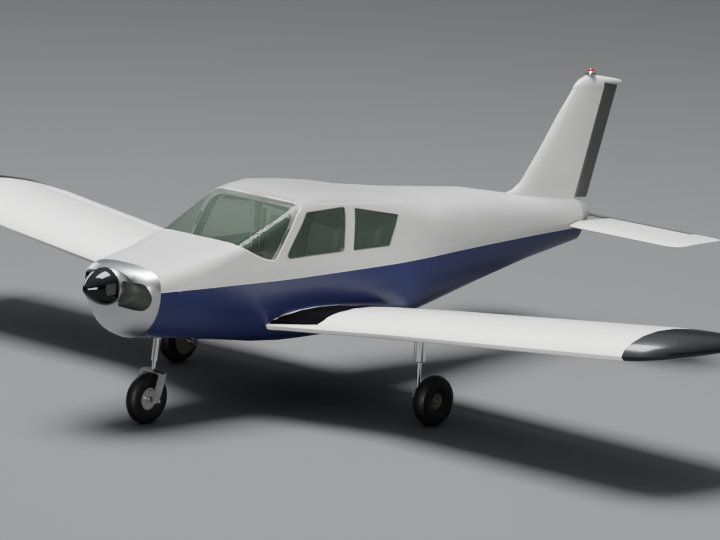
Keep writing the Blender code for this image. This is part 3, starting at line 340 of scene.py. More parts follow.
FINISH = {
    # Two-pack enamel sprayed white: a hard wet gloss with faint grey dust drawn aft.
    "white": weathered(
        "enamel_white", "#f6f6f4", "#e6e5e1",
        Base_Color="#f4f4f2", Roughness=0.28, Coat_Weight=0.55, Coat_Roughness=0.06,
    ),
    # The same enamel on the tail, its colour painted darker as shade for the tail standing further from the
    # lights than the wings; duller too.
    "tail_white": weathered(
        "enamel_white_dusty", "#d4d4d2", "#c6c6c2", (0.3, 0.42),
        Base_Color="#d2d2d0", Roughness=0.34, Coat_Weight=0.3, Coat_Roughness=0.1,
    ),
    "fuselage": two_colour(),
    # Spun aluminium bowl left bare and satin polished: a bright shoulder and soft grey faces.
    # The polish is even, with broad wiping marks that only soften its highlights a little.
    "bowl": patterned(
        "aluminium_satin", dict(lumps=3.0, stretch=(1, 1, 0.5), detail=1.0, gloss=(0.27, 0.31)),
        Base_Color="#cbcccd", Metallic=1.0, Roughness=0.3,
    ),
    # Black stoving enamel on the spinner: near-black, mirror-smooth, with a few bug marks.
    "black": patterned(
        "enamel_black_gloss", dict(lumps=90.0, detail=2.0, dull=(0.62, 0.75), gloss=(0.07, 0.2)),
        Base_Color="#050506", Roughness=0.1, Specular_IOR_Level=0.42,
    ),
    # Dark grey enamel, satin, on the rudder and the tab.
    "dark_grey": weathered(
        "enamel_dark_grey", "#3d3d3e", "#474645", (0.4, 0.55),
        Base_Color="#404041", Roughness=0.42, Coat_Weight=0.25, Coat_Roughness=0.2,
    ),
    # Metallic grey base coat under clear lacquer on the wing tips: a sparkle with a sharp highlight.
    # Flakes are some 0.05 mm across; they are drawn 2 mm across so that they show.
    "metallic_grey": patterned(
        "enamel_metallic_grey",
        dict(lumps=500.0, detail=0.0, shades=("#161618", "#262629"), dull=(0.3, 0.7), gloss=(0.22, 0.38)),
        Base_Color="#303032", Metallic=0.45, Roughness=0.3, Coat_Weight=0.3, Coat_Roughness=0.06,
    ),
    # Mid-grey enamel on small mouldings, chalky where the sun has been at it.
    "mid_grey": weathered(
        "enamel_mid_grey", "#8b8c8d", "#9c9b97", (0.4, 0.55),
        Base_Color="#8c8d8e", Roughness=0.45, Coat_Weight=0.2, Coat_Roughness=0.2,
    ),
    "glass": glass(),
    # Ruby acrylic lens, moulded: deep red with light coming through.
    "ruby": patterned(
        "acrylic_ruby", dict(lumps=70.0, stretch=(1, 1, 0.1), detail=1.0, shades=("#8e0c08", "#c62016")),
        Base_Color="#b3160f", Roughness=0.08, IOR=1.49, Transmission_Weight=0.35, Coat_Weight=0.5,
    ),
    # Hard chrome on the oleo legs: a mirror with faint wiping marks along the stroke.
    "chrome": patterned(
        "chrome_plated",
        dict(lumps=120.0, stretch=(1, 1, 0.15), detail=2.0, dull=(0.3, 0.8), gloss=(0.04, 0.16)),
        Base_Color="#e3e4e6", Metallic=1.0, Roughness=0.07,
    ),
    # Steel ground and polished: a near mirror, a little softer than chrome.
    "polished": patterned(
        "steel_polished", dict(lumps=150.0, detail=2.0, dull=(0.3, 0.8), gloss=(0.08, 0.2)),
        Base_Color="#d2d3d5", Metallic=1.0, Roughness=0.12,
    ),
    # Cast magnesium in dark grey primer: the propeller's hub and cuffs, the seat frames: sandy.
    # Sand grain is about 0.5 mm; it is drawn at 3 mm so that it shows.
    "casting": patterned(
        "cast_alloy_primed",
        dict(lumps=330.0, detail=2.0, shades=("#303236", "#484a4f"), gloss=(0.38, 0.6), dents=(0.0003, 0.4)),
        Base_Color="#3a3c40", Roughness=0.5,
    ),
    # Welded steel fork in silver-grey enamel, satin.
    "fork": weathered(
        "enamel_silver_grey", "#8a8b8c", "#76767a", (0.3, 0.46),
        Base_Color="#8a8b8c", Metallic=0.35, Roughness=0.38,
    ),
    # Turned steel: bright, with rings left by the tool.
    "steel": patterned(
        "steel_turned", dict(lumps=200.0, stretch=(4, 0.4, 0.4), detail=2.0, gloss=(0.2, 0.4)),
        Base_Color="#b9bbbd", Metallic=1.0, Roughness=0.28,
    ),
    # Die-cast aluminium wheels, silver lacquer: light grey with patches of brake dust.
    "wheel": patterned(
        "aluminium_lacquered",
        dict(lumps=40.0, shades=("#a9acae", "#9a9c9f"), over=(0.35, 0.75), gloss=(0.28, 0.48)),
        Base_Color="#a6a9ab", Metallic=0.7, Roughness=0.36,
    ),
    # Cast iron brake disc, turned on its faces: dark grey-brown, dull, with fine rings.
    "brake": patterned(
        "iron_turned", dict(lumps=90.0, stretch=(0.3, 1, 1), detail=2.0, shades=("#3e3e3a", "#565650")),
        Base_Color="#4a4a45", Metallic=0.5, Roughness=0.5,
    ),
    # Tyre rubber, moulded: black-brown, dusty in patches, with a fine skin.
    "tyre": patterned(
        "tyre_rubber",
        dict(lumps=45.0, detail=4.0, shades=("#070708", "#121212"), over=(0.4, 0.8), gloss=(0.42, 0.58)),
        dict(lumps=260.0, detail=2.0, dents=(0.0003, 0.3)),
        Base_Color="#09090a", Roughness=0.45, Specular_IOR_Level=0.32,
    ),
    # Extruded rubber seal: matt black with a slight bloom.
    "seal": patterned(
        "rubber_extruded", dict(lumps=30.0, detail=2.0, shades=("#0f0f10", "#222223")),
        Base_Color="#141415", Roughness=0.62,
    ),
    # Grit-filled paint on the walkway: coal black and dead matt, a little paler where it is scuffed.
    # Grit is 0.8 mm; it is drawn at 4 mm so that it shows.
    "grip": patterned(
        "grip_paint",
        dict(lumps=6.0, stretch=(1, 0.5, 1), detail=4.0, shades=("#040405", "#0b0b0c"), over=(0.45, 0.8)),
        dict(lumps=250.0, detail=2.0, harsh=0.8, dents=(0.0008, 0.8)),
        Base_Color="#060607", Roughness=1.0, Specular_IOR_Level=0.05,
    ),
    # Moulded ABS cabin plastic: grey with a fine leather grain.
    "plastic": patterned(
        "abs_moulded", dict(lumps=5.0, shades=("#505255", "#626467")), dict(cells=300.0, dents=(0.0003, 0.4)),
        Base_Color="#55575a", Roughness=0.55,
    ),
    # Crackle-black panel paint: fine raised cells that catch the light.
    "panel": patterned(
        "panel_crackle", dict(cells=420.0, shades=("#1a1b1d", "#2f3033"), dents=(0.0004, 0.5)),
        Base_Color="#202123", Roughness=0.7,
    ),
    # Printed white marks on the dials and pointers.
    "marking": patterned(
        "dial_marking", dict(lumps=80.0, shades=("#e2e0d6", "#f1f0e9")), Base_Color="#e9e8df", Roughness=0.5
    ),
    # Needled carpet: charcoal, short pile, tufts about 4 mm apart.
    "carpet": patterned(
        "carpet_needled", dict(lumps=250.0, detail=2.0, shades=("#2c2e33", "#4d5057"), dents=(0.0015, 0.7)),
        Base_Color="#3b3d42", Roughness=0.95, Sheen_Weight=0.3,
    ),
    "cloth": woven_cloth(),
    # Cast engine alloy: heat-stained grey.
    "engine": patterned(
        "engine_alloy_cast", dict(lumps=18.0, detail=4.0, shades=("#3f413d", "#72746f")),
        dict(lumps=300.0, dents=(0.0004, 0.4)), Base_Color="#5a5c5a", Metallic=0.6, Roughness=0.55,
    ),
    # Green-grey primer inside the inlet ducts, smoky in patches.
    "duct": patterned(
        "primer_green_grey", dict(lumps=12.0, shades=("#2f3431", "#3f4541")),
        Base_Color="#454b47", Roughness=0.6,
    ),
    # Vacuum-formed ABS trim inside the cabin: charcoal with a fine leather grain.
    "lining": patterned(
        "abs_vacuum_formed", dict(lumps=4.0, shades=("#1d1e20", "#27292b")),
        dict(cells=260.0, dents=(0.0003, 0.4)), Base_Color="#222325", Roughness=0.65,
    ),
    "floor": floor_paper(),
}

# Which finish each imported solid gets.
SOLID_FINISH = {
    "bowl": "nose_bowl",
    "fuselage": "cowling_upper cowling_lower cabin_belly cabin_roof cabin_side_left cabin_side_right"
    " cabin_door tail_cone",
    "white": "wing_left wing_right flap_left flap_right aileron_left aileron_right",
    "tail_white": "fin fin_tip stabilator",
    "metallic_grey": "wing_tip_left wing_tip_right",
    "dark_grey": "rudder anti_servo_tab",
    "mid_grey": "tail_end_fairing",
    "glass": "windscreen front_window_left rear_window_left rear_window_right door_window",
    "black": "spinner",
    "ruby": "beacon_lens",
    "chrome": "nose_strut nose_piston main_leg_left main_leg_right",
    "casting": "propeller_hub",
    "fork": "nose_fork",
    "polished": "nose_axle beacon_base",
    "wheel": "nose_wheel",
    "brake": "main_left_wheel main_right_wheel",
    "tyre": "nose_tyre main_left_tyre main_right_tyre",
    "plastic": "cabin_rear_wall firewall",
    "panel": "instrument_panel",
    "carpet": "cabin_floor",
    "cloth": "front_seat_left front_seat_right rear_seat",
    "engine": "engine_block",
}

# Which part of the record's paint and metal list a piece belongs to, by its finish.
SLOT = {
    "white_paint": "white fuselage marking",
    "grey_paint": "grip",
    "polished_metal": "bowl",
    "dark_metal": "casting",
    "bright_steel": "steel polished chrome",
    "engine_iron": "duct",
    "seat_cloth": "cloth",
    "cabin_plastic": "seal lining plastic panel",
}
SLOT = {finish: slot for slot, finishes in SLOT.items() for finish in finishes.split()}

# These solids' own round corners turn by more than 34 degrees from face to face.
ROUND_CORNERED = ("windscreen", "cabin_roof", "cabin_side_left", "cabin_side_right", "cowling_upper")


def new_group(name, given, gives):
    """A Geometry Nodes group with its named inputs and its one output, and the inputs' sockets."""
    tree = bpy.data.node_groups.new(name, "GeometryNodeTree")
    for label, kind in given:
        tree.interface.new_socket(label, in_out="INPUT", socket_type=f"NodeSocket{kind}")
    tree.interface.new_socket(gives, in_out="OUTPUT", socket_type="NodeSocketGeometry")
    return tree, tree.nodes.new("NodeGroupInput").outputs


def use_group(owner, group, **values):
    """Puts a group on an object, its inputs set by their identifiers."""
    used = owner.modifiers.new(group.name, "NODES")
    used.node_group = group
    for item in group.interface.items_tree:
        key = item.name.replace(" ", "_")
        if item.in_out == "INPUT" and key in values:
            used[item.identifier] = values[key]


def smooth_tree():
    """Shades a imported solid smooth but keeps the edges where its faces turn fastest."""
    tree, given = new_group("soft_shading", (("Solid", "Geometry"), ("Sharpest turn", "Float")), "Solid")
    merged = add(tree, "GeometryNodeMergeByDistance", Geometry=given["Solid"], Distance=0.00005)
    soft = add(tree, "GeometryNodeSetShadeSmooth", {"domain": "FACE"}, Geometry=merged.outputs[0])
    turn = tree.nodes.new("GeometryNodeInputMeshEdgeAngle").outputs[0]
    most = given["Sharpest turn"]
    sharp = add(tree, "FunctionNodeCompare", {"operation": "GREATER_THAN"}, A=turn, B=most)
    chosen = {"Geometry": soft.outputs[0], "Selection": sharp.outputs[0], "Shade_Smooth": False}
    kept = add(tree, "GeometryNodeSetShadeSmooth", {"domain": "EDGE"}, **chosen)
    tree.links.new(kept.outputs[0], tree.nodes.new("NodeGroupOutput").inputs[0])
    return tree


def finish_solids():
    soft = smooth_tree()
    for key, names in SOLID_FINISH.items():
        for name in names.split():
            node = NODES[name]
            node.data.materials.clear()
            node.data.materials.append(FINISH[key])
            use_group(node, soft, Sharpest_turn=math.radians(70 if name in ROUND_CORNERED else 34))


# Making pieces


def piece(name, mesh, finish, body="airframe", smooth=True):
    """A finished piece: doubles merged, faces outward, on its body."""
    if isinstance(mesh, bmesh.types.BMesh):
        bmesh.ops.remove_doubles(mesh, verts=mesh.verts, dist=0.00002)
        bmesh.ops.recalc_face_normals(mesh, faces=mesh.faces)
        mesh = as_data(name, mesh)
    for polygon in mesh.polygons:
        polygon.use_smooth = smooth
    if smooth:
        mesh.set_sharp_from_angle(angle=math.radians(36))
    made = shown(name, mesh)
    mesh.materials.clear()
    mesh.materials.append(FINISH[finish])
    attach(made, body)
    return made


def hoop(mesh, middle, side, other, radius, steps):
    """A ring of points about a middle, or the middle alone where the radius is nothing."""
    if radius < 1e-6:
        return [mesh.verts.new(middle)]
    turns = [k * math.tau / steps for k in range(steps)]
    return [mesh.verts.new(middle + (side * math.cos(t) + other * math.sin(t)) * radius) for t in turns]


def bridge(mesh, low, high):
    """Joins two rings of points with faces; either ring may be one point."""
    count = max(len(low), len(high))
    for k in range(count):
        j = (k + 1) % count
        corners = [low[k % len(low)], low[j % len(low)], high[j % len(high)], high[k % len(high)]]
        corners = list(dict.fromkeys(corners))
        if len(corners) > 2:
            mesh.faces.new(corners)


def turned(mesh, profile, centre, axis, steps=48):
    """Adds a closed turned shape: profile points (along, radius) about an axis."""
    centre, axis = Vector(centre), Vector(axis).normalized()
    side = axis.orthogonal().normalized()
    other = axis.cross(side)
    rings = [hoop(mesh, centre + axis * along, side, other, r, steps) for along, r in profile]
    for low, high in zip(rings, rings[1:]):
        bridge(mesh, low, high)
    if profile[0] == profile[-1]:
        return
    for ring, turn in ((rings[0], -1), (rings[-1], 1)):
        if len(ring) > 1:
            mesh.faces.new(ring[::turn])


def strip(mesh, spots, width, height, closed=False, sink=0.002):
    """Adds a strip with a softly domed top along (point, surface normal) spots."""
    path = [p for p, _ in spots]
    count = len(path)
    half = ((-0.5, -sink), (-0.5, height * 0.55), (-0.32, height))
    shape = (*half, *((-u, v) for u, v in reversed(half)))
    rows = []
    for i, (point, lift) in enumerate(spots):
        before = path[i - 1] if closed or i else path[i]
        after = path[(i + 1) % count] if closed or i + 1 < count else path[i]
        along = (after - before).normalized()
        across = along.cross(lift).normalized()
        lift = across.cross(along).normalized()
        rows.append([mesh.verts.new(point + across * u * width + lift * v) for u, v in shape])
    for i in range(count if closed else count - 1):
        bridge(mesh, rows[i], rows[(i + 1) % count])
    if not closed:
        mesh.faces.new(rows[0])
        mesh.faces.new(rows[-1][::-1])


def tube(mesh, path, radius, steps=12):
    """Adds a round bar along a path, its ends closed."""
    rings = []
    for i, point in enumerate(path):
        along = (path[min(i + 1, len(path) - 1)] - path[max(i - 1, 0)]).normalized()
        side = along.orthogonal().normalized() if i == 0 else (side - along * side.dot(along)).normalized()
        rings.append(hoop(mesh, point, side, along.cross(side), radius, steps))
    for low, high in zip(rings, rings[1:]):
        bridge(mesh, low, high)
    mesh.faces.new(rings[0][::-1])
    mesh.faces.new(rings[-1])


def plate(mesh, outline, thick):
    """Adds a closed plate: an outline of points, and the same moved along a thickness vector."""
    low = [mesh.verts.new(p) for p in outline]
    high = [mesh.verts.new(p + thick) for p in outline]
    mesh.faces.new(low[::-1])
    mesh.faces.new(high)
    bridge(mesh, low, high)


def block(mesh, low, high, soft=0.0):
    """Adds a block between two corners, its edges rounded."""
    made = bmesh.ops.create_cube(mesh, size=1)["verts"]
    size, middle = high - low, (high + low) / 2
    for v in made:
        v.co = v.co * size + middle
    if soft:
        edges = {e for v in made for e in v.link_edges}
        bmesh.ops.bevel(mesh, geom=list(edges), offset=soft, segments=2, profile=0.5, affect="EDGES")


def skin_of(*names):
    """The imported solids' faces as one tree to cast rays on."""
    points, faces = [], []
    for name in names:
        start = len(points)
        mesh = NODES[name].data
        points += [v.co.copy() for v in mesh.vertices]
        faces += [[start + i for i in p.vertices] for p in mesh.polygons]
    return BVHTree.FromPolygons(points, faces)


def met(tree, start, way):
    """The point that a ray meets and the surface normal there, or twice None."""
    return tree.ray_cast(start, Vector(way))[:2]


SHELLS = (
    "nose_bowl",
    "cowling_upper",
    "cowling_lower",
    "cabin_belly",
    "cabin_roof",
    "cabin_side_left",
    "cabin_side_right",
    "cabin_door",
    "windscreen",
    "front_window_left",
    "rear_window_left",
    "rear_window_right",
    "door_window",
    "tail_cone",
)
HULL = skin_of(*SHELLS)


def side_point(side, station, z, tree=HULL):
    """Where a sideways look meets the fuselage: the point and its outward normal."""
    return met(tree, at(side * 1.5, station, z), (-side, 0, 0))


def top_point(x, station, down=True):
    return met(HULL, at(x, station, 3.0 if down else -1.0), (0, 0, -1 if down else 1))


def rounded(corners, radius, steps=5):
    """A closed outline with its corners rounded, in order."""
    out = []
    count = len(corners)
    for i in range(count):
        a, b, c = (Vector(corners[j % count]) for j in (i - 1, i, i + 1))
        to_a, to_c = (a - b).normalized(), (c - b).normalized()
        half = math.acos(max(-1, min(1, to_a.dot(to_c)))) / 2
        reach = min(radius / math.tan(half), (a - b).length * 0.45, (c - b).length * 0.45)
        for t in (k / steps for k in range(steps + 1)):
            out.append(tuple(b + to_a * reach * (1 - t) ** 2 + to_c * reach * t**2))
    return out


def spaced(outline, step, closed=True):
    """Points along an outline no further apart than a step."""
    out = []
    count = len(outline)
    for i in range(count if closed else count - 1):
        a, b = Vector(outline[i]), Vector(outline[(i + 1) % count])
        parts = max(1, math.ceil((b - a).length / step))
        out += [tuple(a.lerp(b, k / parts)) for k in range(parts)]
    return out if closed else [*out, tuple(outline[-1])]


def grown(outline, distance):
    """A closed outline moved outward."""
    count = len(outline)
    area = sum(
        outline[i][0] * outline[(i + 1) % count][1] - outline[(i + 1) % count][0] * outline[i][1]
        for i in range(count)
    )
    turn = 1 if area > 0 else -1
    out = []
    for i in range(count):
        a, b, c = (Vector(outline[j % count]) for j in (i - 1, i, i + 1))
        along = (c - a).normalized()
        out.append((b.x + along.y * turn * distance, b.y - along.x * turn * distance))
    return out


def stud_tree():
    """Sets a low round head on every point it is given, standing along the point's own lift."""
    sizes = ("Head radius", "Float"), ("Head height", "Float"), ("Sides", "Int")
    kinds = ("Places", "Geometry"), *sizes, ("Finish", "Material")
    tree, given = new_group("round_heads", kinds, "Heads")
    radius = given["Head radius"]
    crown = add(tree, "ShaderNodeMath", {"operation": "MULTIPLY"}, Value=radius, Value_001=0.6).outputs[0]
    cone = {"Vertices": given["Sides"], "Radius_Top": crown, "Radius_Bottom": radius}
    head = add(tree, "GeometryNodeMeshCone", Depth=given["Head height"], **cone).outputs["Mesh"]
    lift = add(tree, "GeometryNodeInputNamedAttribute", {"data_type": "FLOAT_VECTOR"}, Name="lift")
    turn = add(
        tree, "FunctionNodeAlignRotationToVector", {"axis": "Z"}, Vector=lift.outputs["Attribute"]
    )
    set_out = {"Points": given["Places"], "Instance": head, "Rotation": turn.outputs[0]}
    spread = add(tree, "GeometryNodeInstanceOnPoints", **set_out)
    solid = add(tree, "GeometryNodeRealizeInstances", Geometry=spread.outputs[0]).outputs[0]
    coated = add(tree, "GeometryNodeSetMaterial", Geometry=solid, Material=given["Finish"])
    tree.links.new(coated.outputs[0], tree.nodes.new("NodeGroupOutput").inputs[0])
    return tree


HEADS = stud_tree()


def heads(name, spots, radius, height, finish, body="airframe", sides=8):
    """Rivets, screws or bolts: one plain mesh of round heads at (point, outward normal) spots."""
    spots = [spot for spot in spots if spot[0] is not None]
    places = bpy.data.meshes.new(name)
    places.from_pydata([tuple(p) for p, _ in spots], [], [])
    lifts = places.attributes.new("lift", "FLOAT_VECTOR", "POINT")
    lifts.data.foreach_set("vector", [c for _, n in spots for c in n])
    carrier = shown(name, places)
    sizes = {"Head_radius": radius, "Head_height": height, "Sides": sides}
    use_group(carrier, HEADS, Finish=FINISH[finish], **sizes)
    graph = bpy.context.evaluated_depsgraph_get()
    plain = bpy.data.meshes.new_from_object(carrier.evaluated_get(graph))
    carrier.modifiers.clear()
    bpy.data.objects.remove(carrier)
    return piece(name, plain, finish, body, smooth=False)


def rivets(name, spots, finish="white", body="airframe"):
    heads(name, spots, 0.0028, 0.0007, finish, body, 6)


# Windows and doors

FRONT_WINDOW = rounded(((1.906, 1.408), (2.152, 1.790), (2.657, 1.790), (2.657, 1.396)), 0.032)
REAR_WINDOW = rounded(((2.776, 1.390), (2.780, 1.765), (3.367, 1.644), (3.256, 1.378)), 0.012)
WINDSCREEN_SIDE = (
    (1.392, 1.566),
    (1.500, 1.508),
    (1.620, 1.452),
    (1.715, 1.420),
    (1.780, 1.414),
    (1.802, 1.430),
    (2.030, 1.780),
    (2.092, 1.836),
)
# Each pane's name, outline, side and body.
PANES = (
    ("front_window_left", FRONT_WINDOW, 1, "airframe"),
    ("rear_window_left", REAR_WINDOW, 1, "airframe"),
    ("rear_window_right", REAR_WINDOW, -1, "airframe"),
    ("door_window", FRONT_WINDOW, -1, "door"),
)


def make_window_seals():
    """A rubber lip round each pane, lying on the panel beside it."""
    for name, outline, side, body in PANES:
        mesh = bmesh.new()
        spots = [side_point(side, *p) for p in spaced(grown(outline, 0.003), 0.03)]
        strip(mesh, spots, 0.004, 0.0006, closed=True)
        piece(f"{name}_seal", mesh, "seal", body)


def windscreen_edge(offset):
    """The windscreen's rim on the hull: up the port side, across the top, down, across the foot."""
    port = [side_point(1, s + offset * 0.3, z - offset) for s, z in spaced(WINDSCREEN_SIDE, 0.03, False)]
    top = port[-1][0]
    foot = port[0][0]
    across = [top_point(x, 2.092 + offset) for x in np.linspace(top.x, -top.x, 15)[1:-1]]
    back = [(Vector((-p.x, p.y, p.z)), Vector((-n.x, n.y, n.z))) for p, n in reversed(port)]
    front = [top_point(x, 1.392 - offset) for x in np.linspace(-foot.x, foot.x, 19)[1:-1]]
    return port + across + back + front


def liner(mesh, rim, middle, depth=0.024, width=0.028):
    """Adds a dark strip inside an opening, across the wall's thickness behind the pane."""
    spots = []
    count = len(rim)
    for i, (point, normal) in enumerate(rim):
        along = (rim[(i + 1) % count][0] - rim[i - 1][0]).normalized()
        inward = along.cross(normal).normalized()
        if inward.dot(middle - point) < 0:
            inward = -inward
        spots.append((point - normal * depth, inward))
    strip(mesh, spots, width, 0.002, closed=True, sink=0.001)


def make_opening_liners():
    for name, outline, side, body in PANES:
        mesh = bmesh.new()
        rim = [side_point(side, *p) for p in spaced(grown(outline, 0.001), 0.03)]
        liner(mesh, rim, sum((p for p, _ in rim), Vector()) / len(rim))
        piece(f"{name}_liner", mesh, "lining", body)
    rim = windscreen_edge(0.001)
    mesh = bmesh.new()
    liner(mesh, rim, at(0, 1.75, 1.70))
    piece("windscreen_liner", mesh, "lining")


def make_windscreen_trim():
    rim = windscreen_edge(0.005)
    mesh = bmesh.new()
    strip(mesh, rim, 0.009, 0.0016, closed=True)
    piece("windscreen_retainer", mesh, "white")


# Seats


def cushion(name, low, high, crown, lean=0.0, pivot=None):
    """A padded block blown up by cloth pressure from a slightly small start."""
    mesh = bmesh.new()
    block(mesh, low, high)
    bmesh.ops.bevel(
        mesh, geom=mesh.edges[:], offset=min(high - low) * 0.26, segments=3, profile=0.6, affect="EDGES"
    )
    pad = shown(name, as_data(name, mesh))
    bpy.context.view_layer.objects.active = pad
    remesh = pad.modifiers.new("remesh", "REMESH")
    remesh.mode, remesh.voxel_size = "VOXEL", 0.012
    data = bpy.data.meshes.new_from_object(pad.evaluated_get(bpy.context.evaluated_depsgraph_get()))
    pad.modifiers.clear()
    pad.data = data
    start = np.array([v.co for v in data.vertices])
    cloth = pad.modifiers.new("padding", "CLOTH")
    cloth.settings.use_pressure = True
    cloth.settings.uniform_pressure_force = 4
    cloth.settings.effector_weights.gravity = 0
    cloth.settings.quality = 4
    for number in range(1, 21):
        bpy.context.scene.frame_set(number)
    blown = pad.evaluated_get(bpy.context.evaluated_depsgraph_get()).to_mesh()
    moved = np.array([v.co for v in blown.vertices]) - start
    far = np.linalg.norm(moved, axis=1, keepdims=True)
    moved *= np.minimum(1, crown / np.maximum(far, 1e-9))
    pad.modifiers.clear()
    bpy.context.scene.frame_set(1)
    start = start + moved
    if lean:
        turn = Matrix.Rotation(lean, 3, "X")
        start = np.array([turn @ (Vector(p) - pivot) + pivot for p in start])
    data.vertices.foreach_set("co", start.astype(np.float32).ravel())
    smooth = pad.modifiers.new("smooth", "SUBSURF")
    smooth.levels = smooth.render_levels = 1
    data = bpy.data.meshes.new_from_object(pad.evaluated_get(bpy.context.evaluated_depsgraph_get()))
    bpy.data.objects.remove(pad)
    return piece(name, data, "cloth")


def make_seats():
    for side, name in ((1, "left"), (-1, "right")):
        near, far = sorted((side * 0.060, side * 0.440))
        seat = cushion(f"front_cushion_{name}", at(near, 2.150, 1.000), at(far, 2.600, 1.100), 0.018)
        low, high = at(near, 2.600, 1.090), at(far, 2.690, 1.590)
        back = cushion(
            f"front_backrest_{name}", low, high, 0.016, -math.radians(14), at(0, 2.640, 1.080)
        )
        base = bmesh.new()
        for x in (near + 0.03, far - 0.03):
            for station in (2.23, 2.58):
                turned(base, [(0, 0.013), (0.2, 0.013)], at(x, station, 0.8075), (0, 0, 1), 16)
            turned(base, [(0, 0.016), (0.46, 0.016)], at(x, 2.17, 0.995), (0, 1, 0), 16)
        piece(f"front_seat_frame_{name}", base, "casting")
        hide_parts(f"front_seat_{name}")
    bench = cushion("rear_cushion", at(-0.42, 2.880, 0.980), at(0.42, 3.200, 1.080), 0.018)
    low, high = at(-0.42, 3.215, 1.070), at(0.42, 3.300, 1.530)
    back = cushion("rear_backrest", low, high, 0.016, -math.radians(9), at(0, 3.25, 1.06))
    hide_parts("rear_seat")


# Nose


def make_bowl_collar():
    """A rolled collar on the bowl closes the gap behind the spinner."""
    mesh = bmesh.new()
    collar = [(0.285, 0.151), (0.2855, 0.157), (0.289, 0.159), (0.337, 0.159), (0.337, 0.151)]
    turned(mesh, [*collar, collar[0]], at(0, 0, PROP_Z), (0, 1, 0), 64)
    piece("bowl_collar", mesh, "bowl")


def make_spinner_screws():
    """Screws hold the spinner to its back plate."""
    spots = []
    for k in range(12):
        turn = math.radians(15 + 30 * k)
        out = Vector((math.cos(turn), 0, math.sin(turn)))
        if abs(out.z) * 0.163 > 0.062:
            spots.append((at(0, 0.270, PROP_Z) + out * 0.1632, out))
    heads("spinner_screws", spots, 0.0042, 0.0012, "steel", "propeller", sides=12)


def make_blade_cuffs():
    """A cuff plate fills each blade opening round the blade's seat."""
    for side, name in SIDES:
        mesh = bmesh.new()
        inner, outer = [], []
        for k in range(40):
            turn = k * math.tau / 40
            c, s = math.cos(turn), math.sin(turn)
            inner.append(at(side * 0.126, 0.215 + 0.0465 * c, PROP_Z + 0.0465 * s))
            reach = min(0.054 / max(abs(c), 1e-6), 0.0525 / max(abs(s), 1e-6), 0.066)
            outer.append(at(side * 0.126, 0.215 + reach * c, PROP_Z + reach * s))
        back = Vector((-side * 0.004, 0, 0))
        loops = [
            [mesh.verts.new(p) for p in ring]
            for ring in (inner, outer, [p + back for p in outer], [p + back for p in inner])
        ]
        for a, b in zip(loops, loops[1:] + loops[:1]):
            bridge(mesh, a, b)
        piece(f"blade_cuff_{name}", mesh, "casting", "propeller")


def make_inlet_ducts():
    """Each inlet has a moulded duct behind it, rounded like a cup."""
    for side, name in SIDES:
        outline = [(0.092, 1.108)]
        for i in range(9):
            turn = math.radians(-42 + 70 * i / 8)
            outline.append((0.140 * math.cos(turn), PROP_Z + 0.140 * math.sin(turn)))
        for i in range(17):
            turn = math.radians(90 - 180 * i / 16)
            outline.append((0.320 + 0.080 * math.cos(turn), 1.218 + 0.120 * math.sin(turn)))
        middle = Vector((0.250, 1.215))
        mesh = bmesh.new()
        rings = []
        for i in range(12):
            depth, share = 0.120 * math.sin(i * math.pi / 24), 0.985 * math.cos(i * math.pi / 25)
            ring = [middle + (Vector(p) - middle) * share for p in outline]
            # The rim keeps inside the bowl, whose side runs back behind the inlet's outer end.
            fronts = [0.352 + max(0.0, p.x - 0.25) * 0.78 for p in ring]
            fronts = [max(f + depth * (1 - (f - 0.352) / 0.2), 0.352 + depth) for f in fronts]
            rings.append([mesh.verts.new(at(side * p.x, f, p.y)) for p, f in zip(ring, fronts)])
        for low, high in zip(rings, rings[1:]):
            bridge(mesh, low, high)
        mesh.faces.new(rings[-1])
        bmesh.ops.recalc_face_normals(mesh, faces=mesh.faces)
        bmesh.ops.solidify(mesh, geom=mesh.faces[:], thickness=0.003)
        piece(f"inlet_duct_{name}", mesh, "duct")


def make_nose_gear():
    """A dark block on the fork's crown, bright axle spacers, and a polished lip under the cowl."""
    fork = skin_of("nose_fork")
    crown = []
    for station in np.arange(0.66, 0.90, 0.002):
        hit, _ = met(fork, at(0.048, station, 0.8), (0, 0, -1))
        if hit is not None:
            crown.append(hit)
    top = max(p.z for p in crown)
    level = [p.y for p in crown if p.z > top - 0.025]
    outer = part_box("nose_fork")[1].x
    # A black block darkens the port half of the crown's top.
    mesh = bmesh.new()
    low = Vector((0.026, min(level) - 0.002, top - 0.016))
    block(mesh, low, Vector((outer + 0.002, max(level) + 0.002, top + 0.004)), 0.002)
    piece("fork_crown_pad", mesh, "seal", "nose_steering")
    mesh = bmesh.new()
    spacer = [(0.050, 0.026), (0.058, 0.026), (0.062, 0.020), (0.064, 0.0155), (0.094, 0.0155)]
    spacer += [(0.0965, 0.019), (0.0965, 0.0135), (0.050, 0.0135), spacer[0]]
    for side in (1, -1):
        turned(mesh, spacer, at(0, NOSE_AXLE, WHEEL_Z), (side, 0, 0), 32)
    piece("axle_spacers", mesh, "polished", "nose_steering")
    # A polished lip runs along the lower cowling to the strut.
    mesh = bmesh.new()
    path = [
        top_point(0.250 - 0.150 * share, 0.515 + 0.30 * share, down=False)
        for share in np.linspace(0, 1, 12)
    ]
    strip(mesh, path, 0.009, 0.003)
    piece("cowl_lip", mesh, "polished")


def seam_ring(station, gap, keep=lambda p: True):
    """Points round the fuselage at a station, so far apart, with their outward normals."""
    spots, last = [], None
    for k in range(720):
        turn = k * math.tau / 720
        out = Vector((math.cos(turn), 0, math.sin(turn)))
        start = at(0, station, 1.20 if station < 5.5 else 1.17) + out * 1.4
        hit, normal = met(HULL, start, -out)
        if hit is None or not keep(hit):
            last = None
            continue
        if last is None or (hit - last).length >= gap:
            spots.append((hit, normal))
            last = hit
    return spots


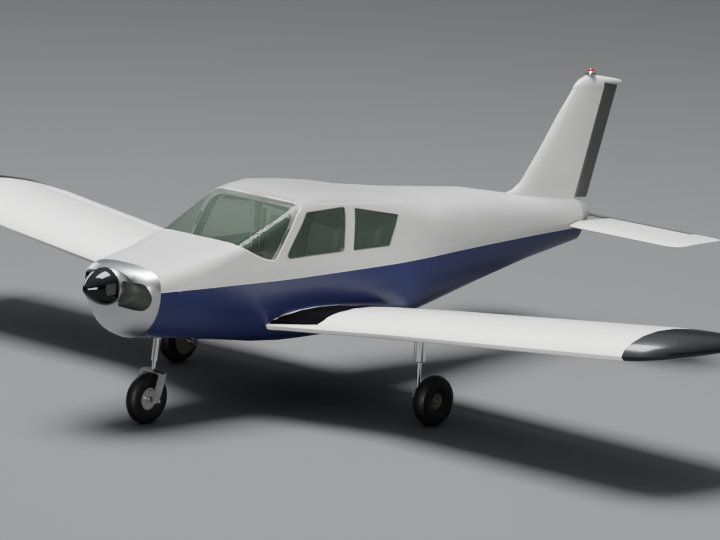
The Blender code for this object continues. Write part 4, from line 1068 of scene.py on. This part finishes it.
def make_cowl_fasteners():
    bowl_side = seam_ring(0.512, 0.085)
    heads("bowl_screws", bowl_side, 0.0045, 0.0010, "fuselage", sides=12)
    firewall = seam_ring(1.236, 0.060)
    heads("cowl_screws", firewall, 0.0040, 0.0009, "fuselage", sides=10)
    # Over-centre latches hold the upper cowling down, two a side.
    mesh = bmesh.new()
    for side in (1, -1):
        for station in (0.70, 1.08):
            skin, normal = side_point(side, station, 1.240)
            block(
                mesh,
                skin + Vector((min(0, side * 0.004), -0.016, -0.020)),
                skin + Vector((max(0, side * 0.004), 0.016, 0.020)),
                0.0015,
            )
    piece("cowl_latches", mesh, "fuselage")
    # The oil door is a thin lid on the upper cowling.
    mesh = bmesh.new()
    lid = rounded(((-0.34, 0.80), (-0.20, 0.80), (-0.20, 0.94), (-0.34, 0.94)), 0.02)
    rim = [top_point(x, s) for x, s in spaced(lid, 0.02)]
    strip(mesh, rim, 0.005, 0.0012, closed=True)
    piece("oil_door_rim", mesh, "fuselage")


# Wings

WINGS = skin_of("wing_left", "wing_right")


def wing_point(x, station, above=True):
    return met(WINGS, at(x, station, 2.0 if above else 0.3), (0, 0, -1 if above else 1))


def leading_edge(x):
    """The wing's own leading-edge station at a distance from the middle."""
    x = abs(x)
    return 1.735 + (x - 0.430) / (1.555 - 0.430) * 0.380 if x < 1.555 else 2.115


def make_walkways():
    """A grip-painted path on each wing root, from the leading edge back to the flap."""
    for side, name in SIDES:
        mesh = bmesh.new()
        rows = []
        for i in range(71):
            # Steps are short at the nose of the wing, where its skin turns fastest.
            share = (i / 70) ** 1.8
            row = []
            for k in range(25):
                across = k / 24
                outer = 0.935 - 0.115 * max(0.0, share - 0.05)
                inner = 0.503 + 0.056 * min(1.0, share * 7)
                x = inner + (outer - inner) * across
                first = leading_edge(x) + 0.012 + 0.020 * across
                station = first + (3.36 - first) * share
                row.append(wing_point(side * x, station))
            rows.append(row)
        top = [[mesh.verts.new(p + n * 0.0022) for p, n in row] for row in rows]
        under = [[mesh.verts.new(p - n * 0.0010) for p, n in row] for row in rows]
        for grid, turn in ((top, 1), (under, -1)):
            for i in range(70):
                for k in range(24):
                    corners = grid[i][k], grid[i + 1][k], grid[i + 1][k + 1], grid[i][k + 1]
                    mesh.faces.new(corners[::turn])
        rim = [(0, k) for k in range(25)] + [(i, 24) for i in range(1, 71)]
        rim += [(70, k) for k in range(23, -1, -1)] + [(i, 0) for i in range(69, 0, -1)]
        for (i, k), (m, n) in zip(rim, rim[1:] + rim[:1]):
            mesh.faces.new((top[i][k], top[m][n], under[m][n], under[i][k]))
        piece(f"walkway_{name}", mesh, "grip")


def root_path(side, above):
    """Where the wing's skin runs into the fuselage."""
    path = []
    for station in np.linspace(1.80, 3.66, 48):
        x = 0.56
        for _ in range(4):
            hit, normal = wing_point(side * x, station, above)
            if hit is None:
                break
            skin, out = side_point(side, station, hit.z)
            x = abs(skin.x) + 0.003
        if hit is not None:
            path.append((Vector((side * x, hit.y, hit.z)), (out + normal).normalized()))
    return path


def make_root_fillets():
    """A rounded sealing strip where each wing meets the fuselage, above and below."""
    for side, name in SIDES:
        mesh = bmesh.new()
        for above in (True, False):
            path = root_path(side, above)
            strip(mesh, path, 0.004, 0.002, sink=0.004)
        piece(f"wing_root_fillet_{name}", mesh, "white")


def make_wing_details():
    spots = []
    for side in (1, -1):
        for x in (0.66, 1.00, 1.29, 1.46, 1.90, 2.35, 2.80, 3.25, 3.70, 4.08):
            for station in np.arange(leading_edge(x) + 0.05, 3.36, 0.052):
                for above in (True, False):
                    if not (above and x < 0.98):
                        spots.append(wing_point(side * x, station, above))
        for station in (2.40, 2.86, 3.355):
            for x in np.arange(0.70, 4.10, 0.052):
                for above in (True, False):
                    if not (above and x < 0.98) and station > leading_edge(x) + 0.05:
                        spots.append(wing_point(side * x, station, above))
    rivets("wing_rivets", spots)
    # Fuel caps sit in a shallow ring on top of each tank.
    for side, name in SIDES:
        spot, normal = wing_point(side * 1.75, 2.42)
        mesh = bmesh.new()
        cap = [(-0.002, 0.046), (0.0016, 0.046), (0.0022, 0.044), (0.0022, 0.036), (0.001, 0.035)]
        turned(mesh, [*cap, (0.001, 0.0)], spot, normal, 40)
        block(mesh, spot + Vector((-0.018, -0.004, 0.0005)), spot + Vector((0.018, 0.004, 0.0045)), 0.0015)
        piece(f"fuel_cap_{name}", mesh, "white")
        # A ring under the wing takes the picketing rope.
        spot, normal = wing_point(side * 3.25, 2.44, False)
        mesh = bmesh.new()
        arc = [(0.016 * math.cos(t), -0.016 * math.sin(t) - 0.004) for t in np.linspace(0, math.pi, 11)]
        loop = [(0.016, 0.004), *arc, (-0.016, 0.004)]
        tube(mesh, [spot + Vector((0, y, z)) for y, z in loop], 0.0035, 10)
        turned(mesh, [(-0.001, 0.026), (0.002, 0.026), (0.003, 0.022), (0.003, 0.0)], spot, normal, 24)
        piece(f"picket_ring_{name}", mesh, "steel")


# Fuselage


def clear_of_glass(point):
    """True where a rivet would land on a panel, not on a pane or the door."""
    station, z = point.y + DATUM, point.z
    if 1.33 < station < 3.45 and 1.36 < z <= 1.86:
        return False
    return not (point.x < 0 and 1.82 < station < 2.74 and z > 1.02)


def make_fuselage_rivets():
    spots = []
    for station in (1.262, 3.888, 3.914, 4.32, 4.74, 5.16, 5.58, 6.00, 6.40):
        spots += seam_ring(station, 0.046, clear_of_glass)
    for station in (2.02, 2.76, 3.40):
        spots += seam_ring(station, 0.052, lambda p: clear_of_glass(p) and p.z < 1.30)
    for side in (1, -1):
        for low, high in (((1.28, 1.335), (6.38, 1.262)), ((1.28, 1.020), (6.38, 1.090))):
            count = int((high[0] - low[0]) / 0.05)
            for k in range(count):
                share = k / count
                station = low[0] + (high[0] - low[0]) * share
                z = low[1] + (high[1] - low[1]) * share
                spot = side_point(side, station, z)
                if clear_of_glass(spot[0]):
                    spots.append(spot)
    rivets("fuselage_rivets", spots, "fuselage")


def make_door_hardware():
    door = skin_of("cabin_door", "door_window")
    corners = (1.850, 1.045), (1.850, 1.330), (2.120, 1.842), (2.714, 1.820), (2.714, 1.045)
    outline = rounded(corners, 0.060)
    mesh = bmesh.new()
    rim = [side_point(-1, *p) for p in spaced(grown(outline, 0.0045), 0.03)]
    strip(mesh, rim, 0.004, 0.0008, closed=True)
    piece("door_seal", mesh, "seal")
    # Pull handle and lock in the door's rear edge, and a second latch at its top.
    mesh = bmesh.new()
    spot, _ = side_point(-1, 2.60, 1.235, door)
    block(mesh, spot + Vector((-0.003, -0.075, -0.020)), spot + Vector((0.002, 0.045, 0.020)), 0.002)
    bar = [
        spot + Vector((-0.003 - 0.016 * math.sin(t), -0.060 + 0.085 * t / math.pi, 0))
        for t in np.linspace(0, math.pi, 9)
    ]
    tube(mesh, bar, 0.006, 12)
    lock = [(0, 0.009), (0.005, 0.009), (0.006, 0.007), (0.006, 0)]
    turned(mesh, lock, spot + Vector((0, 0.07, 0)), (-1, 0, 0), 20)
    spot, normal = side_point(-1, 2.62, 1.806, door)
    turned(mesh, [(-0.001, 0.016), (0.003, 0.016), (0.004, 0.014), (0.004, 0)], spot, normal, 24)
    piece("door_handle", mesh, "chrome", "door")
    mesh = bmesh.new()
    for z in (1.12, 1.28):
        skin, _ = side_point(-1, 1.842, z)
        tube(mesh, [skin + Vector((-0.004, 0, rise)) for rise in (-0.022, 0.022)], 0.0055, 14)
    piece("door_hinge_knuckles", mesh, "steel")


# Cabin


def make_linings():
    """Trim panels just inside the cabin's walls, taken from the walls' own inner faces."""
    for node, body in (
        ("cabin_side_left", "airframe"),
        ("cabin_side_right", "airframe"),
        ("cabin_roof", "airframe"),
        ("cabin_belly", "airframe"),
        ("cabin_door", "door"),
    ):
        mesh = bmesh.new()
        mesh.from_mesh(NODES[node].data)
        bmesh.ops.remove_doubles(mesh, verts=mesh.verts, dist=0.00005)
        outer = []
        for face in mesh.faces:
            middle = face.calc_center_median()
            inward = Vector((-middle.x, 0, 1.25 - middle.z)).normalized()
            if face.normal.dot(inward) < 0.35:
                outer.append(face)
        bmesh.ops.delete(mesh, geom=outer, context="FACES")
        bmesh.ops.solidify(mesh, geom=mesh.faces[:], thickness=-0.0016)
        piece(f"{node}_lining", mesh, "lining", body)


PANEL_FACE = 1.7405


def make_dials():
    """Instrument faces: a black dial with a rim, ticks and a pointer in each."""
    faces, rims, ticks, spots = bmesh.new(), bmesh.new(), bmesh.new(), []
    dials = [(x, z, 0.040) for x in (0.16, 0.255, 0.350) for z in (1.395, 1.300)]
    dials += [(x, z, 0.027) for x in (-0.33, -0.40) for z in (1.39, 1.32, 1.25)]
    dials += [(0.16, 1.215, 0.027), (0.350, 1.215, 0.027)]
    for number, (x, z, radius) in enumerate(dials):
        centre = at(x, PANEL_FACE, z)
        turned(faces, [(-0.001, radius), (0.0012, radius), (0.0012, 0)], centre, (0, 1, 0), 32)
        ring = [(-0.001, radius), (0.004, radius), (0.005, radius + 0.002)]
        ring += [(0.004, radius + 0.005), (-0.001, radius + 0.005)]
        turned(rims, [*ring, ring[0]], centre, (0, 1, 0), 32)
        for k in range(10):
            turn = k * math.tau / 10
            way = Vector((math.cos(turn), 0, math.sin(turn)))
            a, b = centre + way * radius * 0.78, centre + way * radius * 0.93
            tube(ticks, [a + Vector((0, 0.0016, 0)), b + Vector((0, 0.0016, 0))], 0.0008, 4)
        turn = 2.4 + 0.9 * number
        way = Vector((math.cos(turn), 0, math.sin(turn)))
        pivot = centre + Vector((0, 0.002, 0))
        tube(ticks, [pivot - way * radius * 0.15, pivot + way * radius * 0.7], 0.0010, 6)
        for k in range(4):
            turn = math.radians(45 + 90 * k)
            corner = Vector((math.cos(turn), 0, math.sin(turn))) * (radius + 0.009)
            spots.append((centre + corner, Vector((0, 1, 0))))
    piece("dial_faces", faces, "panel")
    piece("dial_rims", rims, "seal")
    piece("dial_marks", ticks, "marking", smooth=False)
    heads("panel_screws", spots, 0.0022, 0.0008, "steel")


def make_radio_stack():
    """The radio stack, its knobs, and the throttle quadrant below."""
    stack, knobs = bmesh.new(), bmesh.new()
    for k in range(4):
        low = 1.245 + 0.048 * k
        block(stack, at(-0.115, PANEL_FACE - 0.002, low), at(0.055, PANEL_FACE + 0.008, low + 0.044), 0.002)
        for x in (-0.098, 0.038):
            knob = [(0, 0.009), (0.012, 0.0085), (0.014, 0.007), (0.014, 0)]
            turned(knobs, knob, at(x, PANEL_FACE + 0.008, low + 0.022), (0, 1, 0), 20)
    block(stack, at(-0.085, PANEL_FACE - 0.002, 1.128), at(0.075, PANEL_FACE + 0.035, 1.205), 0.006)
    for x in (-0.045, -0.005, 0.035):
        tube(knobs, [at(x, PANEL_FACE + 0.030, 1.175), at(x, PANEL_FACE + 0.062, 1.192)], 0.003, 8)
        ball = [(-0.009, 0.0), (-0.008, 0.006), (0, 0.010), (0.008, 0.006), (0.009, 0.0)]
        turned(knobs, ball, at(x, PANEL_FACE + 0.066, 1.194), (0, 1, 0.5), 16)
    piece("radio_stack", stack, "plastic")
    piece("panel_knobs", knobs, "seal")


def make_glareshield():
    """A cap on the panel that runs forward to the windscreen's foot."""
    shield = bmesh.new()
    rows = []
    for x in np.linspace(-0.45, 0.45, 25):
        crown = 0.018 * (1 - (x / 0.45) ** 2)
        row = [(1.765, 1.468), (1.775, 1.478), (1.765, 1.489), (1.70, 1.496 + crown), (1.56, 1.498 + crown)]
        if abs(x) > 0.36:
            row[-1] = (1.60, 1.492 + crown)
        low = [(s, z - 0.012) for s, z in reversed(row[2:])]
        rows.append([shield.verts.new(at(x, s, z)) for s, z in row + low])
    for a, b in zip(rows, rows[1:]):
        bridge(shield, a, b)
    shield.faces.new(rows[0])
    shield.faces.new(rows[-1][::-1])
    piece("glareshield", shield, "grip")


def make_control_yokes():
    """Control yokes on their shafts, one for each front seat."""
    for side, name in SIDES:
        mesh = bmesh.new()
        hub = at(side * 0.255, 1.905, 1.235)
        tube(mesh, [at(side * 0.255, 1.738, 1.235), hub], 0.011, 16)
        block(mesh, hub - Vector((0.045, 0.014, 0.018)), hub + Vector((0.045, 0.010, 0.018)), 0.006)
        for way in (1, -1):
            bends = (0.040, 0, 0), (0.110, 0.004, 0), (0.138, 0.010, 0.022), (0.142, 0.016, 0.075)
            horn = [hub + Vector((way * x, y, z)) for x, y, z in (*bends, (0.130, 0.020, 0.112))]
            tube(mesh, horn, 0.013, 14)
        piece(f"control_yoke_{name}", mesh, "plastic")


def make_sun_visors():
    """Sun visors folded up at the windscreen's top corners."""
    mesh = bmesh.new()
    for side in (1, -1):
        corners = (0.10, 2.150, 1.842), (0.40, 2.150, 1.826), (0.41, 2.055, 1.760), (0.10, 2.055, 1.786)
        plate(mesh, [at(side * x, s, z) for x, s, z in corners], Vector((0, 0.004, -0.006)))
    piece("sun_visors", mesh, "plastic")


# Tail


def make_tail():
    """Rivets along the ribs and spars of the fin and the stabilator."""
    rows = [(station, z) for z in (1.62, 1.83, 2.04, 2.25, 2.42) for station in np.arange(5.4, 6.75, 0.05)]
    rows += [(6.445 + 0.335 * share, 1.42 + 1.01 * share) for share in np.linspace(0.03, 0.97, 24)]
    fin = skin_of("fin")
    spots = [met(fin, at(side, station, z), (-side, 0, 0)) for station, z in rows for side in (1, -1)]
    rivets("fin_rivets", spots)
    rows = [(x, station) for x in np.arange(-1.34, 1.35, 0.05) for station in (6.44, 6.78)]
    ribs = (-1.1, -0.8, -0.5, -0.25, 0.25, 0.5, 0.8, 1.1)
    rows += [(x, station) for x in ribs for station in np.arange(6.30, 6.84, 0.05)]
    plane = skin_of("stabilator")
    spots = [met(plane, at(x, s, 1.17 + way), (0, 0, -way)) for x, s in rows for way in (1, -1)]
    rivets("stabilator_rivets", spots, body="stabilator")


def make_beacon_mount():
    """A bright bezel round the lens, and the foot that carries it on the fin's tip."""
    low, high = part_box("beacon_lens")
    radius, tall = (high.x - low.x) / 2, high.z - low.z
    mesh = bmesh.new()
    bezel = [(-0.004, radius + 0.006), (0.25 * tall, radius + 0.005), (0.36 * tall, radius * 0.97)]
    bezel += [(0.36 * tall, radius * 0.80), (-0.004, radius * 0.80), bezel[0]]
    centre = Vector(((low.x + high.x) / 2, (low.y + high.y) / 2, low.z))
    turned(mesh, bezel, centre, (0, 0, 1), 40)
    piece("beacon_bezel", mesh, "chrome")
    low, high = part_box("beacon_base")
    mesh = bmesh.new()
    foot = [(0.0, 0.0), (0.0, 0.030), (-0.010, 0.026), (-0.028, 0.024), (-0.044, 0.018), (-0.052, 0.0)]
    centre = Vector(((low.x + high.x) / 2, (low.y + high.y) / 2 + 0.012, low.z))
    turned(mesh, foot, centre, (0, 0, 1), 40)
    piece("beacon_foot", mesh, "chrome")


# Wheels


def make_wheels():
    """Hub bolts and valve stems."""
    for name, body, middle, outs, half in (
        ("nose", "nose_wheel", at(0, NOSE_AXLE, WHEEL_Z), (1, -1), 0.050),
        ("main_left", "main_wheel_left", at(1.555, 2.785, WHEEL_Z), (1,), 0.060),
        ("main_right", "main_wheel_right", at(-1.555, 2.785, WHEEL_Z), (-1,), 0.060),
    ):
        tree = skin_of("nose_wheel" if name == "nose" else f"{name}_wheel")
        spots = []
        for out in outs:
            for k in range(6):
                turn = k * math.tau / 6
                offset = Vector((0, math.cos(turn), math.sin(turn))) * 0.052
                start = middle + offset + Vector((out * 0.4, 0, 0))
                hit, _ = met(tree, start, (-out, 0, 0))
                if hit is not None:
                    spots.append((hit, Vector((out, 0, 0))))
        heads(f"{name}_hub_bolts", spots, 0.0055, 0.0040, "steel", body, sides=6)
        mesh = bmesh.new()
        foot = middle + Vector((outs[0] * half * 0.55, 0, 0.070))
        bend, end = Vector((outs[0] * 0.012, 0, 0.004)), Vector((outs[0] * 0.026, 0, 0.006))
        tube(mesh, [foot, foot + bend, foot + end], 0.0035, 10)
        piece(f"{name}_valve", mesh, "seal", body)


# The scene

make_camera()
make_studio()
finish_solids()
make_window_seals()
make_windscreen_trim()
make_opening_liners()
make_seats()
make_bowl_collar()
make_spinner_screws()
make_blade_cuffs()
make_inlet_ducts()
make_nose_gear()
make_cowl_fasteners()
make_walkways()
make_root_fillets()
make_wing_details()
make_fuselage_rivets()
make_door_hardware()
make_linings()
make_dials()
make_radio_stack()
make_glareshield()
make_control_yokes()
make_sun_visors()
make_tail()
make_beacon_mount()
make_wheels()
